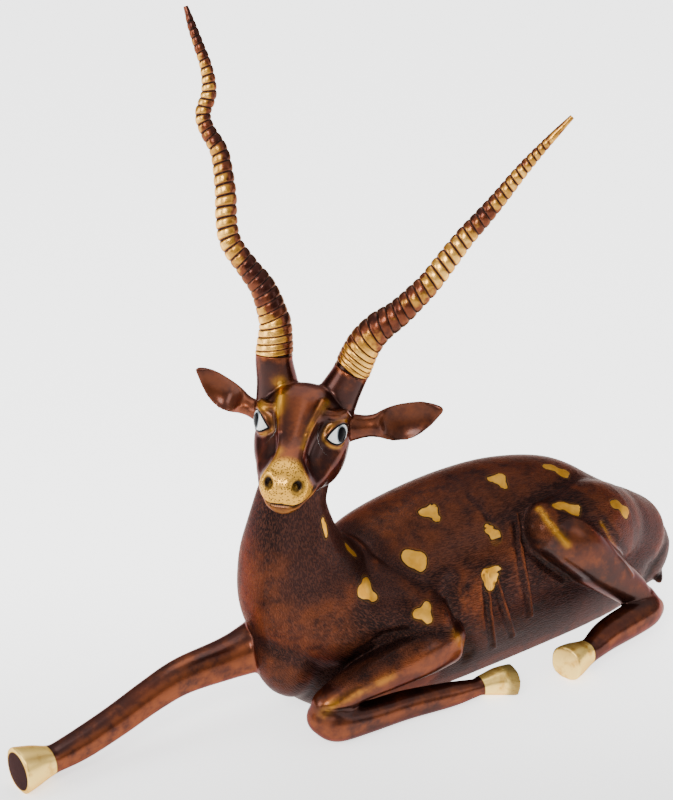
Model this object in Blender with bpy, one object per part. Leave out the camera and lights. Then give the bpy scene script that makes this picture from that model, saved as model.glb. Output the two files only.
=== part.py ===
"""Lying antelope deer with tall ringed horns: a hollow brass casting, modelled as its outer form.

The deer looks towards -X, its left side is towards -Y, and it lies on the ground at z = 0.
Pose, proportions and carving are shares of the deer's own height: SHARES_TALL shares reach
from the ground to the tip of its right horn. The horns are castings of their own, seated on the
head with a named gap.
"""
import math

import bmesh
import bpy
import numpy as np
from mathutils import Vector

# Driving dimensions, in metres
HEIGHT = 0.69                 # ground to the tip of the right horn
HORN_GAP = 0.0006             # clear gap between a horn's foot and the seat on the head
SOLE_TRIM = 0.0012            # how much the flat underside takes off the lowest points

# Shares: the unit of the pose and the carving
SHARES_TALL = 690.0
SHARE = HEIGHT / SHARES_TALL

# Facet sizes and counts
VOXEL = 2.6 * SHARE           # grain of the fused form
CASTING_TRIANGLES = 7600      # facets kept on the casting
HEAD_REACH = 105.0            # finer facets are kept this near the middle of the head
HEAD_STAGE_TRIANGLES = 15000  # facets of the whole casting when the head's are settled
RING_SIDES = 20               # sides of a carried profile before fusing
HORN_SIDES = 10               # sides of a horn's rings
SEAT_SPARE = 5.0              # height of the pedicle that the flat seat takes off

# Where the body's middle plane lies, in shares
BODY_Y = 26.0

# The head's own frame: where its middle is, and how it is turned, tipped and rolled
HEAD_AT = np.array([-65.0, -30.0, 322.0])
HEAD_TURN = math.radians(42.0)
HEAD_TIP = math.radians(13.0)
HEAD_ROLL = math.radians(4.0)


def head_axes():
    """Give the head's forward, up and left directions in the world."""
    forward = np.array([
        -math.cos(HEAD_TURN) * math.cos(HEAD_TIP),
        -math.sin(HEAD_TURN) * math.cos(HEAD_TIP),
        -math.sin(HEAD_TIP),
    ])
    level_left = np.array([math.sin(HEAD_TURN), -math.cos(HEAD_TURN), 0.0])
    level_up = np.cross(forward, level_left)
    up = level_up * math.cos(HEAD_ROLL) + level_left * math.sin(HEAD_ROLL)
    left = level_left * math.cos(HEAD_ROLL) - level_up * math.sin(HEAD_ROLL)
    return forward, up, left


FORWARD, UP, LEFT = head_axes()


def on_head(forward, up, left):
    """Turn a place in the head's own shares into a place on the statue."""
    return HEAD_AT + FORWARD * forward + UP * up + LEFT * left


def smooth_rows(rows, steps):
    """Carry rows of numbers along a Catmull-Rom curve, with a few steps between two rows."""
    rows = np.asarray(rows, float)
    padded = np.vstack([2.0 * rows[0] - rows[1], rows, 2.0 * rows[-1] - rows[-2]])
    t = np.arange(steps)[:, None] / steps
    spans = []
    for a, b, c, d in zip(padded[:-3], padded[1:-2], padded[2:-1], padded[3:]):
        spans.append(0.5 * (2.0 * b + (c - a) * t + (2.0 * a - 5.0 * b + 4.0 * c - d) * t ** 2
                            + (3.0 * b - a - 3.0 * c + d) * t ** 3))
    spans.append(rows[-1:])
    return np.vstack(spans)


def round_ends(rows, steps):
    """Add ever smaller rows past both ends, so that a carried form closes in a dome."""
    angles = np.linspace(0.0, math.pi / 2.0, steps + 1)[1:] * 0.94
    parts = []
    for end, inner in ((rows[0], rows[1]), (rows[-1], rows[-2])):
        out = end[:3] - inner[:3]
        out = out / np.linalg.norm(out)
        reach = 0.5 * (end[3] + 0.5 * (end[4] + end[5]))
        cap = np.tile(end, (steps, 1))
        cap[:, :3] += out * (np.sin(angles) * reach)[:, None]
        cap[:, 3:6] *= np.cos(angles)[:, None]
        parts.append(cap)
    return np.vstack([parts[0][::-1], rows, parts[1]])


def carried_form(rows, across, fullness=2.0, steps=4, domes=True, sides=RING_SIDES):
    """Carry an oval profile along a path and return its points and faces.

    Each row holds x, y, z, half width, height above and depth below the path's line. `across` is
    the direction of the width; the height stands square to it and to the path. A fullness of 2 is
    an oval, and more is squarer.
    """
    rows = smooth_rows(rows, steps)
    if domes:
        rows = round_ends(rows, 5)
    line = rows[:, :3]
    along = np.gradient(line, axis=0)
    along /= np.linalg.norm(along, axis=1)[:, None]
    across = np.asarray(across, float)
    wide = across - along * (along @ across)[:, None]
    wide /= np.linalg.norm(wide, axis=1)[:, None]
    tall = np.cross(wide, along)
    angle = np.linspace(0.0, 2.0 * math.pi, sides, endpoint=False)
    cos = np.sign(np.cos(angle)) * np.abs(np.cos(angle)) ** (2.0 / fullness)
    sin = np.sign(np.sin(angle)) * np.abs(np.sin(angle)) ** (2.0 / fullness)
    height = np.where(sin > 0.0, rows[:, 4:5], rows[:, 5:6])
    points = (line[:, None, :] + wide[:, None, :] * (rows[:, 3:4] * cos)[:, :, None]
              + tall[:, None, :] * (height * sin)[:, :, None])
    return points.reshape(-1, 3), tube_faces(len(rows), sides)


def tube_faces(rings, sides):
    """List the faces of a closed tube of rings, with a flat face at each end."""
    faces = []
    for ring in range(rings - 1):
        for side in range(sides):
            here = ring * sides + side
            beside = ring * sides + (side + 1) % sides
            faces.append((here, beside, beside + sides, here + sides))
    faces.append(tuple(range(sides))[::-1])
    faces.append(tuple(range((rings - 1) * sides, rings * sides)))
    return faces


def round_form(rows, across=(0.0, 1.0, 0.0), **more):
    """Carry a round profile: each row holds x, y, z and a radius."""
    rows = np.asarray(rows, float)
    full = np.column_stack([rows[:, :4], rows[:, 3], rows[:, 3]])
    return carried_form(full, across, **more)


def mirrored(rows):
    """Give rows on the deer's left side their match on its right side."""
    rows = np.array(rows, float)
    rows[:, 1] = 2.0 * BODY_Y - rows[:, 1]
    return rows


# Body

def torso():
    """Barrel of the body: belly broad on the ground, back dropping to the rump."""
    rows = [
        (-38, 15, 82, 40, 42, 62),
        (-14, 18, 78, 57, 60, 78),
        (18, 22, 74, 73, 86, 98),
        (60, 25, 70, 80, 109, 112),
        (125, 27, 68, 83, 122, 118),
        (190, 28, 66, 85, 127, 118),
        (250, 27, 64, 84, 125, 118),
        (315, 23, 60, 80, 112, 108),
        (372, 16, 54, 70, 82, 94),
        (414, 9, 46, 56, 61, 72),
        (436, 4, 38, 39, 46, 48),
    ]
    return carried_form(rows, (0.0, -1.0, 0.0), fullness=2.15, sides=36)


def neck():
    """Neck from the chest up into the back of the head."""
    top = on_head(-20, -12, 0)
    rows = [
        (78, 27, 84, 58),
        (44, 26, 92, 66),
        (14, 22, 101, 70),
        (-14, 19, 117, 70),
        (-33, 14, 142, 64.5),
        (-46, 10, 177, 53.5),
        (-53, 4, 212, 42.5),
        (-54.5, 0, 242, 34.3),
        (-51, -4, 264, 31.2),
        (-47, -8, 288, 31),
        (top[0], top[1], top[2], 27),
    ]
    return round_form(rows, sides=32)


def tail():
    """Short tail, lying from the back of the rump down to the ground."""
    rows = [
        (436, 4, 52, 10),
        (449, -5, 34, 9),
        (456, -13, 16, 7.5),
        (455, -21, 5, 6),
        (449, -28, 3, 4.5),
    ]
    return round_form(rows, sides=12)


# Fore legs

def near_fore_leg():
    """Left fore leg, folded: blade, shoulder, fore arm to the knee, shank back to the hoof."""
    blade = [
        (-10, 6, 114, 58),
        (14, -2, 112, 50),
        (40, -14, 108, 43),
        (66, -26, 98, 38),
    ]
    shoulder = [
        (26, -14, 140, 22),
        (50, -26, 112, 32),
        (78, -38, 84, 33),
        (94, -46, 64, 27),
    ]
    fore_arm = [
        (96, -52, 62, 25),
        (60, -57, 64, 25),
        (16, -57, 60, 21),
        (-24, -53, 52, 17.5),
        (-49.5, -50, 40, 16.5),
    ]
    shank = [
        (-51.5, -48, 27, 18.5),
        (-41, -54, 20, 19),
        (-10, -61, 17, 15.5),
        (34, -66, 16, 14.5),
        (84, -77, 14.5, 12.5),
        (112, -82, 13.5, 9.5),
        (122, -83, 13.5, 8.5),
    ]
    hoof = [
        (118, -82, 14, 9.5, 8.5, 9),
        (132, -86, 15.5, 12, 11.5, 13.5),
        (146, -90, 16, 15, 11.5, 16.5),
        (157, -94, 15.5, 18, 11.5, 17.5),
    ]
    return [
        round_form(blade, sides=28),
        round_form(shoulder),
        round_form(fore_arm),
        round_form(shank),
        carried_form(hoof, (0.2, -1.0, 0.0), fullness=2.4, domes=False),
    ]


def far_fore_leg():
    """Right fore leg, stretched forward along the ground, with its hoof's sole facing forward."""
    leg = [
        (20, 44, 92, 38, 40, 40),
        (-40, 42, 76, 29.5, 29.5, 30),
        (-76, 46, 67, 23, 24, 23),
        (-102, 50, 62, 19.5, 22, 18.5),
        (-149, 54, 58, 17, 20.5, 15),
        (-184, 56, 49, 15.5, 18, 14.5),
        (-223, 57, 36, 15, 16.5, 14),
        (-262, 58, 26, 14.5, 14.5, 14.5),
        (-292, 59, 21.5, 13, 11.5, 13.5),
    ]
    hoof = [
        (-288, 59, 22, 13, 11.5, 13),
        (-297, 59, 22, 14.5, 14, 15),
        (-310, 60, 22, 18.5, 18.5, 18.5),
        (-327, 60, 22, 22, 23, 22),
    ]
    return [
        carried_form(leg, (0.0, 1.0, 0.0), fullness=2.3),
        carried_form(hoof, (0.0, 1.0, 0.0), fullness=2.3, domes=False),
    ]


# Hind legs

HIND_THIGH = [
    (395, -3, 85, 36),
    (356, -16, 98, 48.5),
    (310, -30, 118, 48),
    (268, -38, 130, 38),
    (240, -44, 140, 28),
]
FAR_THIGH = [
    (400, 36, 66, 36),
    (350, 58, 74, 43),
    (300, 68, 82, 39),
    (264, 72, 90, 31),
    (242, 74, 92, 23),
]
HIND_SHANK = [
    (238, -48, 140, 26),
    (262, -58, 124, 30),
    (295, -67, 92, 27),
    (331, -77, 59, 20.5),
    (355, -86, 36, 15.5),
    (362, -92, 26, 13.5),
]


def near_hind_leg():
    """Left hind leg, folded: thigh, shank back to the hock, and the foot turned forward."""
    foot = [
        (364, -92, 25, 14),
        (348, -97, 26.5, 16.5),
        (320, -99, 26, 17.5),
        (282, -103, 24.5, 16),
        (252, -110, 21.5, 12.5),
        (244, -111, 21, 12),
    ]
    hoof = [
        (252, -110, 21, 12, 12, 11.5),
        (240, -111, 20.5, 13, 14, 12.5),
        (223, -113, 20.5, 16.5, 18, 16),
        (209, -115, 20.5, 18.5, 19.5, 16.5),
    ]
    return [
        round_form(HIND_THIGH, sides=28),
        round_form(HIND_SHANK),
        round_form(foot),
        carried_form(hoof, (-0.1, 1.0, 0.0), fullness=2.3, domes=False),
    ]


def far_hind_leg():
    """Right hind leg, folded close along the hidden side."""
    shank = [
        (240, -30, 84, 22),
        (266, -42, 76, 25),
        (300, -50, 58, 23),
        (338, -57, 38, 18),
        (366, -62, 24, 14.5),
    ]
    foot = [
        (368, -64, 18, 14),
        (330, -70, 16, 13.5),
        (286, -72, 15, 13),
        (256, -72, 14, 11),
    ]
    hoof = [
        (258, -72, 14, 11, 11, 11),
        (244, -72, 15, 14, 14, 14),
        (232, -72, 16, 16, 15, 15),
    ]
    return [
        round_form(FAR_THIGH, sides=28),
        round_form(mirrored(shank)),
        round_form(mirrored(foot)),
        carried_form(mirrored(np.array(hoof, float)), (0.0, -1.0, 0.0), domes=False),
    ]


# Head

SKULL_SECTIONS = [
    # forward, then up and left of: crown, ridge, slope, orbit, widest, cheek, jaw, throat, middle below
    (-50, (16, 0), (14, 9), (9, 15), (3, 19), (-3, 20), (-11, 19), (-20, 14), (-26, 7), (-28, 0)),
    (-40, (30, 0), (27, 14), (21, 23), (12, 30), (2, 33), (-12, 33), (-28, 26), (-39, 14), (-41, 0)),
    (-27, (37, 0), (36, 17), (29, 27), (19, 35), (6, 39), (-12, 40.5), (-35, 35), (-47, 20), (-49, 0)),
    (-14, (37, 0), (38, 19), (32, 28), (22, 36), (8, 41), (-12, 43.5), (-38, 37.5), (-49, 22), (-51, 0)),
    (-2, (34, 0), (37, 19), (30, 27), (21, 34), (8, 39), (-12, 43), (-38, 37.5), (-49, 22), (-51, 0)),
    (8, (31, 0), (35, 17.5), (26, 25), (16, 31), (6, 36), (-12, 41.5), (-37, 36), (-47, 21), (-49, 0)),
    (18, (28, 0), (31.5, 15), (21, 20), (12, 26), (2, 32), (-12, 39), (-35, 33.5), (-45, 19), (-47, 0)),
    (30, (24.5, 0), (27, 12.5), (16, 16), (7, 22), (-2, 28.5), (-13, 35), (-31, 29), (-40, 16), (-42, 0)),
    (42, (21.5, 0), (22.3, 11.3), (12, 14), (4, 19), (-4, 26), (-13, 32), (-27, 26), (-35, 13.5), (-37, 0)),
    (54, (19.5, 0), (19, 11), (10, 14), (3, 18.5), (-4, 24), (-12, 28.5), (-23, 22.5), (-30, 11), (-32, 0)),
    (66, (18.5, 0), (17.5, 12.3), (10, 17), (3, 20.5), (-4, 23.5), (-12, 25), (-21, 19), (-27, 9), (-29, 0)),
    (76, (17, 0), (15.5, 13), (10, 18.5), (3, 21.5), (-4, 22), (-11, 21), (-20, 16), (-26, 8), (-28, 0)),
    (84, (13, 0), (12, 11), (7.5, 16.5), (2, 19), (-4, 18.5), (-10, 17), (-18, 14), (-24, 7), (-26, 0)),
    (89, (7, 0), (6.5, 6.5), (4, 10), (0, 12), (-4, 12.5), (-9, 12), (-15, 10), (-19.5, 5.5), (-20.5, 0)),
]


def skull():
    """Head from the poll to the muzzle, lofted through half sections and their mirror images."""
    rings = []
    for section in SKULL_SECTIONS:
        half = np.array(section[1:], float)
        ring = np.vstack([half, half[-2:0:-1] * (1.0, -1.0)])
        rings.append([section[0], *ring.ravel()])
    rings = smooth_rows(rings, 3)
    sides = (rings.shape[1] - 1) // 2
    drawn = rings[:, 1:].reshape(len(rings), sides, 2)
    points = (HEAD_AT + FORWARD * rings[:, :1, None] + UP * drawn[:, :, :1] + LEFT * drawn[:, :, 1:])
    return points.reshape(-1, 3), tube_faces(len(rings), sides)


HORN_SEATS = {
    # side: centre of the seat, half width of the seat
    "right": (on_head(-42, 55, -33), 17.2),
    "left": (on_head(-42, 48, 38.5), 16.8),
}


def horn_start(side):
    """Direction in which a horn leaves its seat."""
    rise = horn_line(side)[1, :3] - HORN_SEATS[side][0]
    return rise / np.linalg.norm(rise)


def pedicle(side):
    """Stump on the skull that carries a horn, a little longer than its seat is high."""
    seat, radius = HORN_SEATS[side]
    root = on_head(-30, 4, -25 if side == "right" else 20)
    out = horn_start(side)
    rows = [
        (*root, 22),
        (*(0.5 * root + 0.5 * seat), 18.8),
        (*(seat - out * 6), radius),
        (*(seat + out * SEAT_SPARE), radius),
    ]
    return round_form(rows, across=LEFT, domes=False)


def seat_cutter(side):
    """Round bar whose lower end leaves the flat seat of a horn."""
    seat, radius = HORN_SEATS[side]
    out = horn_start(side)
    rows = [(*seat, radius + 6), (*(seat + out * 3.0 * SEAT_SPARE), radius + 6)]
    return round_form(rows, across=LEFT, steps=1, domes=False)


EAR_RIM = 1.7                 # half the thickness of an ear's rim
EAR_BREADTH = {"right": 0.87, "left": 1.03}
EARS = {
    # side: root, middle, tip, as forward, up, left
    "right": ((-30, -4, -34), (-42, 2, -78), (-55, 20, -110)),
    "left": ((-30, -8, 34), (-42, -4.5, 85), (-55, 8.5, 124)),
}


def ear(side):
    """Leaf shaped cup on a round stalk, open to the front."""
    path = np.array([on_head(*place) for place in EARS[side]])
    root, tip = path[0], path[-1]
    outward = -1.0 if side == "right" else 1.0
    face = FORWARD * 0.88 + UP * 0.42 + LEFT * 0.2 * outward
    shape = smooth_rows([
        # share of the length, half width, back bulge, hollow
        (0.0, 16, 15, -13),
        (0.12, 12.5, 11, -11),
        (0.24, 10.5, 9.5, -9),
        (0.34, 11.5, 10, -8),
        (0.45, 15, 12, 2),
        (0.6, 17, 11.5, 6),
        (0.78, 14, 8.5, 4),
        (0.9, 9.5, 5, 1),
        (1.0, 2.8, 2, -2),
    ], 3)
    shape[:, 1] *= EAR_BREADTH[side]
    along = (tip - root) / np.linalg.norm(tip - root)
    face = face - along * (face @ along)
    face /= np.linalg.norm(face)
    wide = np.cross(along, face)
    stops = np.array([0.0, 0.56, 1.0])
    line = smooth_rows(np.column_stack([stops, path]), 8)
    line = np.column_stack([np.interp(shape[:, 0], line[:, 0], line[:, i]) for i in (1, 2, 3)])
    sides = 24
    angle = np.linspace(0.0, 2.0 * math.pi, sides, endpoint=False)
    bulge = np.abs(np.sin(angle))
    rim = EAR_RIM * bulge ** 0.3
    depth = np.where(np.sin(angle) >= 0.0, -shape[:, 2:3] * bulge - rim,
                     -shape[:, 3:4] * bulge + rim)
    points = (line[:, None, :] + wide * (shape[:, 1:2] * np.cos(angle))[:, :, None]
              + face * depth[:, :, None])
    return points.reshape(-1, 3), tube_faces(len(shape), sides)


EYE_BALLS = {"right": (0, 12.5, -26), "left": (0, 8.5, 25.5)}
EYE_RADIUS = 17.4
EYE_FACING = np.array([0.5, 0.2, 0.84])


def eyeball(side):
    """Ball of the eye, standing a little out of its socket."""
    place = on_head(*EYE_BALLS[side])
    rows = [(*(place - FORWARD), EYE_RADIUS), (*(place + FORWARD), EYE_RADIUS)]
    return round_form(rows, across=LEFT, steps=1, sides=20)


def brow(side):
    """Arch of bone over the eye, from the foot of the horn round to the temple."""
    out = -1.0 if side == "right" else 1.0
    rows = [
        (*on_head(4, 29, 22 * out), 5),
        (*on_head(2, 27, 31 * out), 5.5),
        (*on_head(-6, 24, 37 * out), 5.5),
        (*on_head(-14, 15, 40 * out), 4.5),
    ]
    return round_form(rows, across=LEFT, sides=12)


# Horns

RIGHT_HORN = [
    # x, y, z, radius
    (-60, 13, 411, 14.8),
    (-60, 16, 422, 13.8),
    (-65, 24, 447, 11.9),
    (-74, 34.5, 466, 10.3),
    (-83, 47, 487, 9.7),
    (-83, 54, 507, 9.4),
    (-79, 60, 529, 9.3),
    (-75.5, 70.5, 557, 8.4),
    (-76, 76, 569, 7.9),
    (-80, 85, 583, 7.1),
    (-81, 90, 597, 6.8),
    (-74.5, 89, 616, 6.6),
    (-74, 93, 637, 5.4),
    (-77, 99.5, 656, 4.7),
    (-79.5, 106, 673, 3.9),
    (-81, 112.5, 689, 2.0),
]
LEFT_HORN = [
    (-5, -46, 399, 15.6),
    (5, -54, 415.5, 14.1),
    (18.5, -65.5, 429.5, 12.3),
    (30, -75, 444.5, 11.1),
    (42, -82, 459, 10.2),
    (56, -88, 478, 9.5),
    (71.5, -94.5, 498.5, 8.7),
    (84, -102, 515, 8.1),
    (96.5, -110.5, 533.5, 7.1),
    (108.5, -119.5, 553.5, 6.0),
    (120, -128.5, 571.5, 4.8),
    (132, -138, 589, 3.5),
    (145, -146, 605, 2.0),
]


RING_SWELL = 0.06             # how far a ring stands out, as a share of the horn's radius
RING_COUNTS = {"right": 27, "left": 25}
COLLAR = 3.0                  # straight foot of a horn
PLAIN_FOOT = 0.2              # share of a horn's length over which the rings grow from its foot
PLAIN_TIP = 0.12              # share of a horn's length over which they fade at its tip
LEAST_RELIEF = 0.3            # relief of the smallest rings, as a share of the full one


def horn_line(side):
    """Centre line and radii of a horn, from its seat to its tip."""
    seat, radius = HORN_SEATS[side]
    rows = RIGHT_HORN if side == "right" else LEFT_HORN
    return np.array([(*seat, radius), *rows], float)


def horn(side):
    """Tapering horn with a ring at every step along its curve."""
    rings = RING_COUNTS[side]
    rows = smooth_rows(horn_line(side), 12)
    length = np.concatenate([[0.0], np.cumsum(np.linalg.norm(np.diff(rows[:, :3], axis=0), axis=1))])
    length /= length[-1]
    places = []
    swell = []
    for ring in range(rings):
        places += [(ring + 0.5) / rings, (ring + 1.0) / rings]
        swell += [RING_SWELL, -RING_SWELL]
    places = np.array(places)
    relief = np.clip(places / PLAIN_FOOT, LEAST_RELIEF, 1.0)
    relief *= np.clip((1.0 - places) / PLAIN_TIP, LEAST_RELIEF, 1.0)
    spaced = np.column_stack([np.interp(places, length, rows[:, i]) for i in range(4)])
    spaced[:, 3] *= 1.0 + np.array(swell) * relief
    seat, radius = HORN_SEATS[side]
    gap = HORN_GAP / SHARE
    foot = [(*(seat + horn_start(side) * rise), radius) for rise in (gap, gap + COLLAR)]
    return round_form(np.vstack([foot, spaced]), across=LEFT, steps=1, domes=False, sides=HORN_SIDES)


# Carving

FLANK_GROOVES = [
    # places along the groove as x and z, half width, depth
    ([(148, 108), (152, 88), (157, 68), (164, 46), (171, 28)], 6.0, 2.2),
    ([(169, 112), (176, 92), (184, 72), (192, 52), (199, 34)], 6.0, 2.2),
    ([(190, 130), (198, 112), (208, 92), (217, 72), (225, 54)], 6.0, 2.2),
    ([(107, 120), (104, 86), (112, 55), (127, 34)], 9.0, 3.0),
    ([(214, 135), (235, 106), (262, 82)], 7.0, 2.6),
]
NOSTRILS = ((85, 8, -13.7), (85, 8, 13.7))
NOSTRIL_DEPTH = 5.0
NOSTRIL_WIDTH = 5.5
EYE_OPENING = 12.0            # radius of the ring that is sunk around the ball of an eye
EYE_RING_DEPTH = 1.8
EYE_RING_WIDTH = 2.6
MOUTH_HEIGHT = -13.0
MOUTH_BACK = 60.0             # where the slit of the mouth begins, forward of the head's middle
MOUTH_FADE = 8.0
MOUTH_DEPTH = 2.2
MOUTH_WIDTH = 2.2
MUZZLE_REACH = 120.0          # the mouth stays this near the head's middle
FLANK_FADE = 20.0             # the flanks' grooves fade over this distance towards the back
NEAR_FLANK = BODY_Y - 20.0
FAR_FLANK = BODY_Y + 30.0
FAR_SHARE = 0.7               # depth of the far flank's grooves as a share of the near flank's


def distance_to_line(places, line):
    """Give each place's distance to a line of straight pieces."""
    line = np.asarray(line, float)
    best = np.full(len(places), np.inf)
    for start, end in zip(line[:-1], line[1:]):
        step = end - start
        share = np.clip((places - start) @ step / (step @ step), 0.0, 1.0)
        best = np.minimum(best, np.linalg.norm(places - start - share[:, None] * step, axis=1))
    return best


def carving_depth(points):
    """Give how far the carving sinks each place of the skin, in shares."""
    depth = np.zeros(len(points))
    near = np.clip((NEAR_FLANK - points[:, 1]) / FLANK_FADE, 0.0, 1.0)
    far = np.clip((points[:, 1] - FAR_FLANK) / FLANK_FADE, 0.0, 1.0)
    flank = points[:, [0, 2]]
    for line, half_width, deep in FLANK_GROOVES:
        groove = deep * np.exp(-(distance_to_line(flank, line) / half_width) ** 2)
        depth += groove * np.maximum(near, FAR_SHARE * far)
    own = (points - HEAD_AT) @ np.column_stack([FORWARD, UP, LEFT])
    for place in NOSTRILS:
        away = np.linalg.norm(own - place, axis=1)
        depth += NOSTRIL_DEPTH * np.exp(-(away / NOSTRIL_WIDTH) ** 2)
    for side, out in (("right", -1.0), ("left", 1.0)):
        middle = np.array(EYE_BALLS[side]) + EYE_FACING * (1.0, 1.0, out) * EYE_RADIUS
        away = np.linalg.norm(own - middle, axis=1)
        depth += EYE_RING_DEPTH * np.exp(-((away - EYE_OPENING) / EYE_RING_WIDTH) ** 2)
    lips = np.clip((own[:, 0] - MOUTH_BACK) / MOUTH_FADE, 0.0, 1.0)
    lips *= np.linalg.norm(own, axis=1) < MUZZLE_REACH
    depth += MOUTH_DEPTH * lips * np.exp(-((own[:, 1] - MOUTH_HEIGHT) / MOUTH_WIDTH) ** 2)
    return depth


def carve(body):
    """Sink the carving into a fused skin."""
    mesh = body.data
    flat = np.empty(len(mesh.vertices) * 3)
    mesh.vertices.foreach_get("co", flat)
    normals = np.empty(len(mesh.vertices) * 3)
    mesh.vertices.foreach_get("normal", normals)
    points = flat.reshape(-1, 3)
    depth = carving_depth(points / SHARE) * SHARE
    points -= normals.reshape(-1, 3) * depth[:, None]
    mesh.vertices.foreach_set("co", points.ravel())
    mesh.update()


# Building


def mesh_object(name, forms):
    """Put forms given in shares into one mesh object, in metres."""
    points = []
    faces = []
    start = 0
    for form_points, form_faces in forms:
        points.append(form_points * SHARE)
        faces.extend(tuple(start + index for index in face) for face in form_faces)
        start += len(form_points)
    mesh = bpy.data.meshes.new(name)
    mesh.from_pydata(np.vstack(points).tolist(), [], faces)
    mesh.update()
    body = bpy.data.objects.new(name, mesh)
    bpy.context.collection.objects.link(body)
    return body


def cut_seats(body):
    """Cut the flat seats of both horns into the casting."""
    for side in ("right", "left"):
        cutter = mesh_object(side + "_seat_cutter", [seat_cutter(side)])
        point_outwards(cutter)
        cutter.hide_render = True
        cutter.display_type = "WIRE"
        cut = body.modifiers.new(side + "_seat", "BOOLEAN")
        cut.operation = "DIFFERENCE"
        cut.solver = "EXACT"
        cut.object = cutter
        bake(body)
        bpy.data.objects.remove(cutter)


def point_outwards(body):
    """Turn every face of a mesh object outwards."""
    work = bmesh.new()
    work.from_mesh(body.data)
    bmesh.ops.recalc_face_normals(work, faces=work.faces)
    work.to_mesh(body.data)
    work.free()


def bake(body):
    """Replace an object's mesh by what its modifiers make of it."""
    graph = bpy.context.evaluated_depsgraph_get()
    baked = bpy.data.meshes.new_from_object(body.evaluated_get(graph))
    body.modifiers.clear()
    body.data = baked


def fuse(body):
    """Fuse overlapping closed forms into one skin and soften the joins."""
    remesh = body.modifiers.new("fuse", "REMESH")
    remesh.mode = "VOXEL"
    remesh.voxel_size = VOXEL
    soften = body.modifiers.new("soften", "SMOOTH")
    soften.factor = 0.5
    soften.iterations = 5
    bake(body)


def thin_out(body, triangles, keep_head=False):
    """Bring a skin down to about the wanted number of triangles, if asked with the head kept."""
    count = sum(len(face.vertices) - 2 for face in body.data.polygons)
    decimate = body.modifiers.new("thin", "DECIMATE")
    if keep_head:
        places = [np.array(vertex.co) / SHARE - HEAD_AT for vertex in body.data.vertices]
        thinned = body.vertex_groups.new(name="thinned")
        away = [i for i, place in enumerate(places) if np.linalg.norm(place) > HEAD_REACH]
        thinned.add(away, 1.0, "REPLACE")
        decimate.vertex_group = thinned.name
    decimate.ratio = min(1.0, triangles / count)
    bake(body)


def cut_flat(body, level):
    """Cut a closed skin off flat below a level and close it with flat faces."""
    work = bmesh.new()
    work.from_mesh(body.data)
    everything = work.verts[:] + work.edges[:] + work.faces[:]
    cut = bmesh.ops.bisect_plane(work, geom=everything, dist=1e-6, plane_co=(0.0, 0.0, level),
                                 plane_no=(0.0, 0.0, 1.0), clear_inner=True)
    edges = [item for item in cut["geom_cut"] if isinstance(item, bmesh.types.BMEdge)]
    bmesh.ops.holes_fill(work, edges=edges, sides=0)
    bmesh.ops.triangulate(work, faces=work.faces)
    bmesh.ops.recalc_face_normals(work, faces=work.faces)
    work.to_mesh(body.data)
    work.free()


def finish(name, colour, roughness, metallic):
    """Make one finish."""
    material = bpy.data.materials.new(name)
    material.use_nodes = True
    shader = material.node_tree.nodes["Principled BSDF"]
    shader.inputs["Base Color"].default_value = (*colour, 1.0)
    shader.inputs["Roughness"].default_value = roughness
    shader.inputs["Metallic"].default_value = metallic
    return material


def shade(body, degrees):
    """Shade a piece smooth, with edges sharper than an angle kept."""
    body.data.shade_smooth()
    body.data.set_sharp_from_angle(angle=math.radians(degrees))


def make_casting():
    """Body, head, legs and tail as one casting."""
    forms = [torso(), neck(), tail(), skull()]
    forms += near_fore_leg() + far_fore_leg() + near_hind_leg() + far_hind_leg()
    for side in ("right", "left"):
        forms += [pedicle(side), ear(side), eyeball(side), brow(side)]
    body = mesh_object("casting", forms)
    point_outwards(body)
    fuse(body)
    carve(body)
    thin_out(body, HEAD_STAGE_TRIANGLES)
    thin_out(body, CASTING_TRIANGLES, keep_head=True)
    cut_seats(body)
    cut_flat(body, SOLE_TRIM)
    return body


def make_horn(side):
    """One horn as a casting of its own."""
    body = mesh_object(side + "_horn", [horn(side)])
    point_outwards(body)
    return body


def stand_on_origin(bodies):
    """Put the model's lowest level and the middle of its outline on the origin."""
    points = []
    for body in bodies:
        flat = np.empty(len(body.data.vertices) * 3)
        body.data.vertices.foreach_get("co", flat)
        points.append(flat.reshape(-1, 3))
    points = np.vstack(points)
    low, high = points.min(axis=0), points.max(axis=0)
    shift = Vector((-(low[0] + high[0]) / 2.0, -(low[1] + high[1]) / 2.0, -low[2]))
    for body in bodies:
        for vertex in body.data.vertices:
            vertex.co += shift


def build():
    """Make the whole statue."""
    for old in list(bpy.data.objects):
        bpy.data.objects.remove(old)
    brown = finish("brown_brass", (0.062, 0.022, 0.012), 0.42, 0.75)
    ringed = finish("ringed_brass", (0.42, 0.2, 0.06), 0.35, 0.85)
    casting = make_casting()
    horns = [make_horn("right"), make_horn("left")]
    stand_on_origin([casting, *horns])
    casting.data.materials.append(brown)
    shade(casting, 40)
    for body in horns:
        body.data.materials.append(ringed)
        shade(body, 60)


build()
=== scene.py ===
"""Looks of a lying brass deer: a chased and lacquered casting with two ringed horns.

Every form is worked out in the statue's own shares, where x runs from the breast (-) to the tail (+),
y from the deer's left side (-) to its right side (+) and z up from the ground. The finished meshes
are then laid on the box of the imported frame, so that a share comes out as its real length.
"""

import logging
import math
from dataclasses import dataclass, field
from enum import Enum

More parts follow.
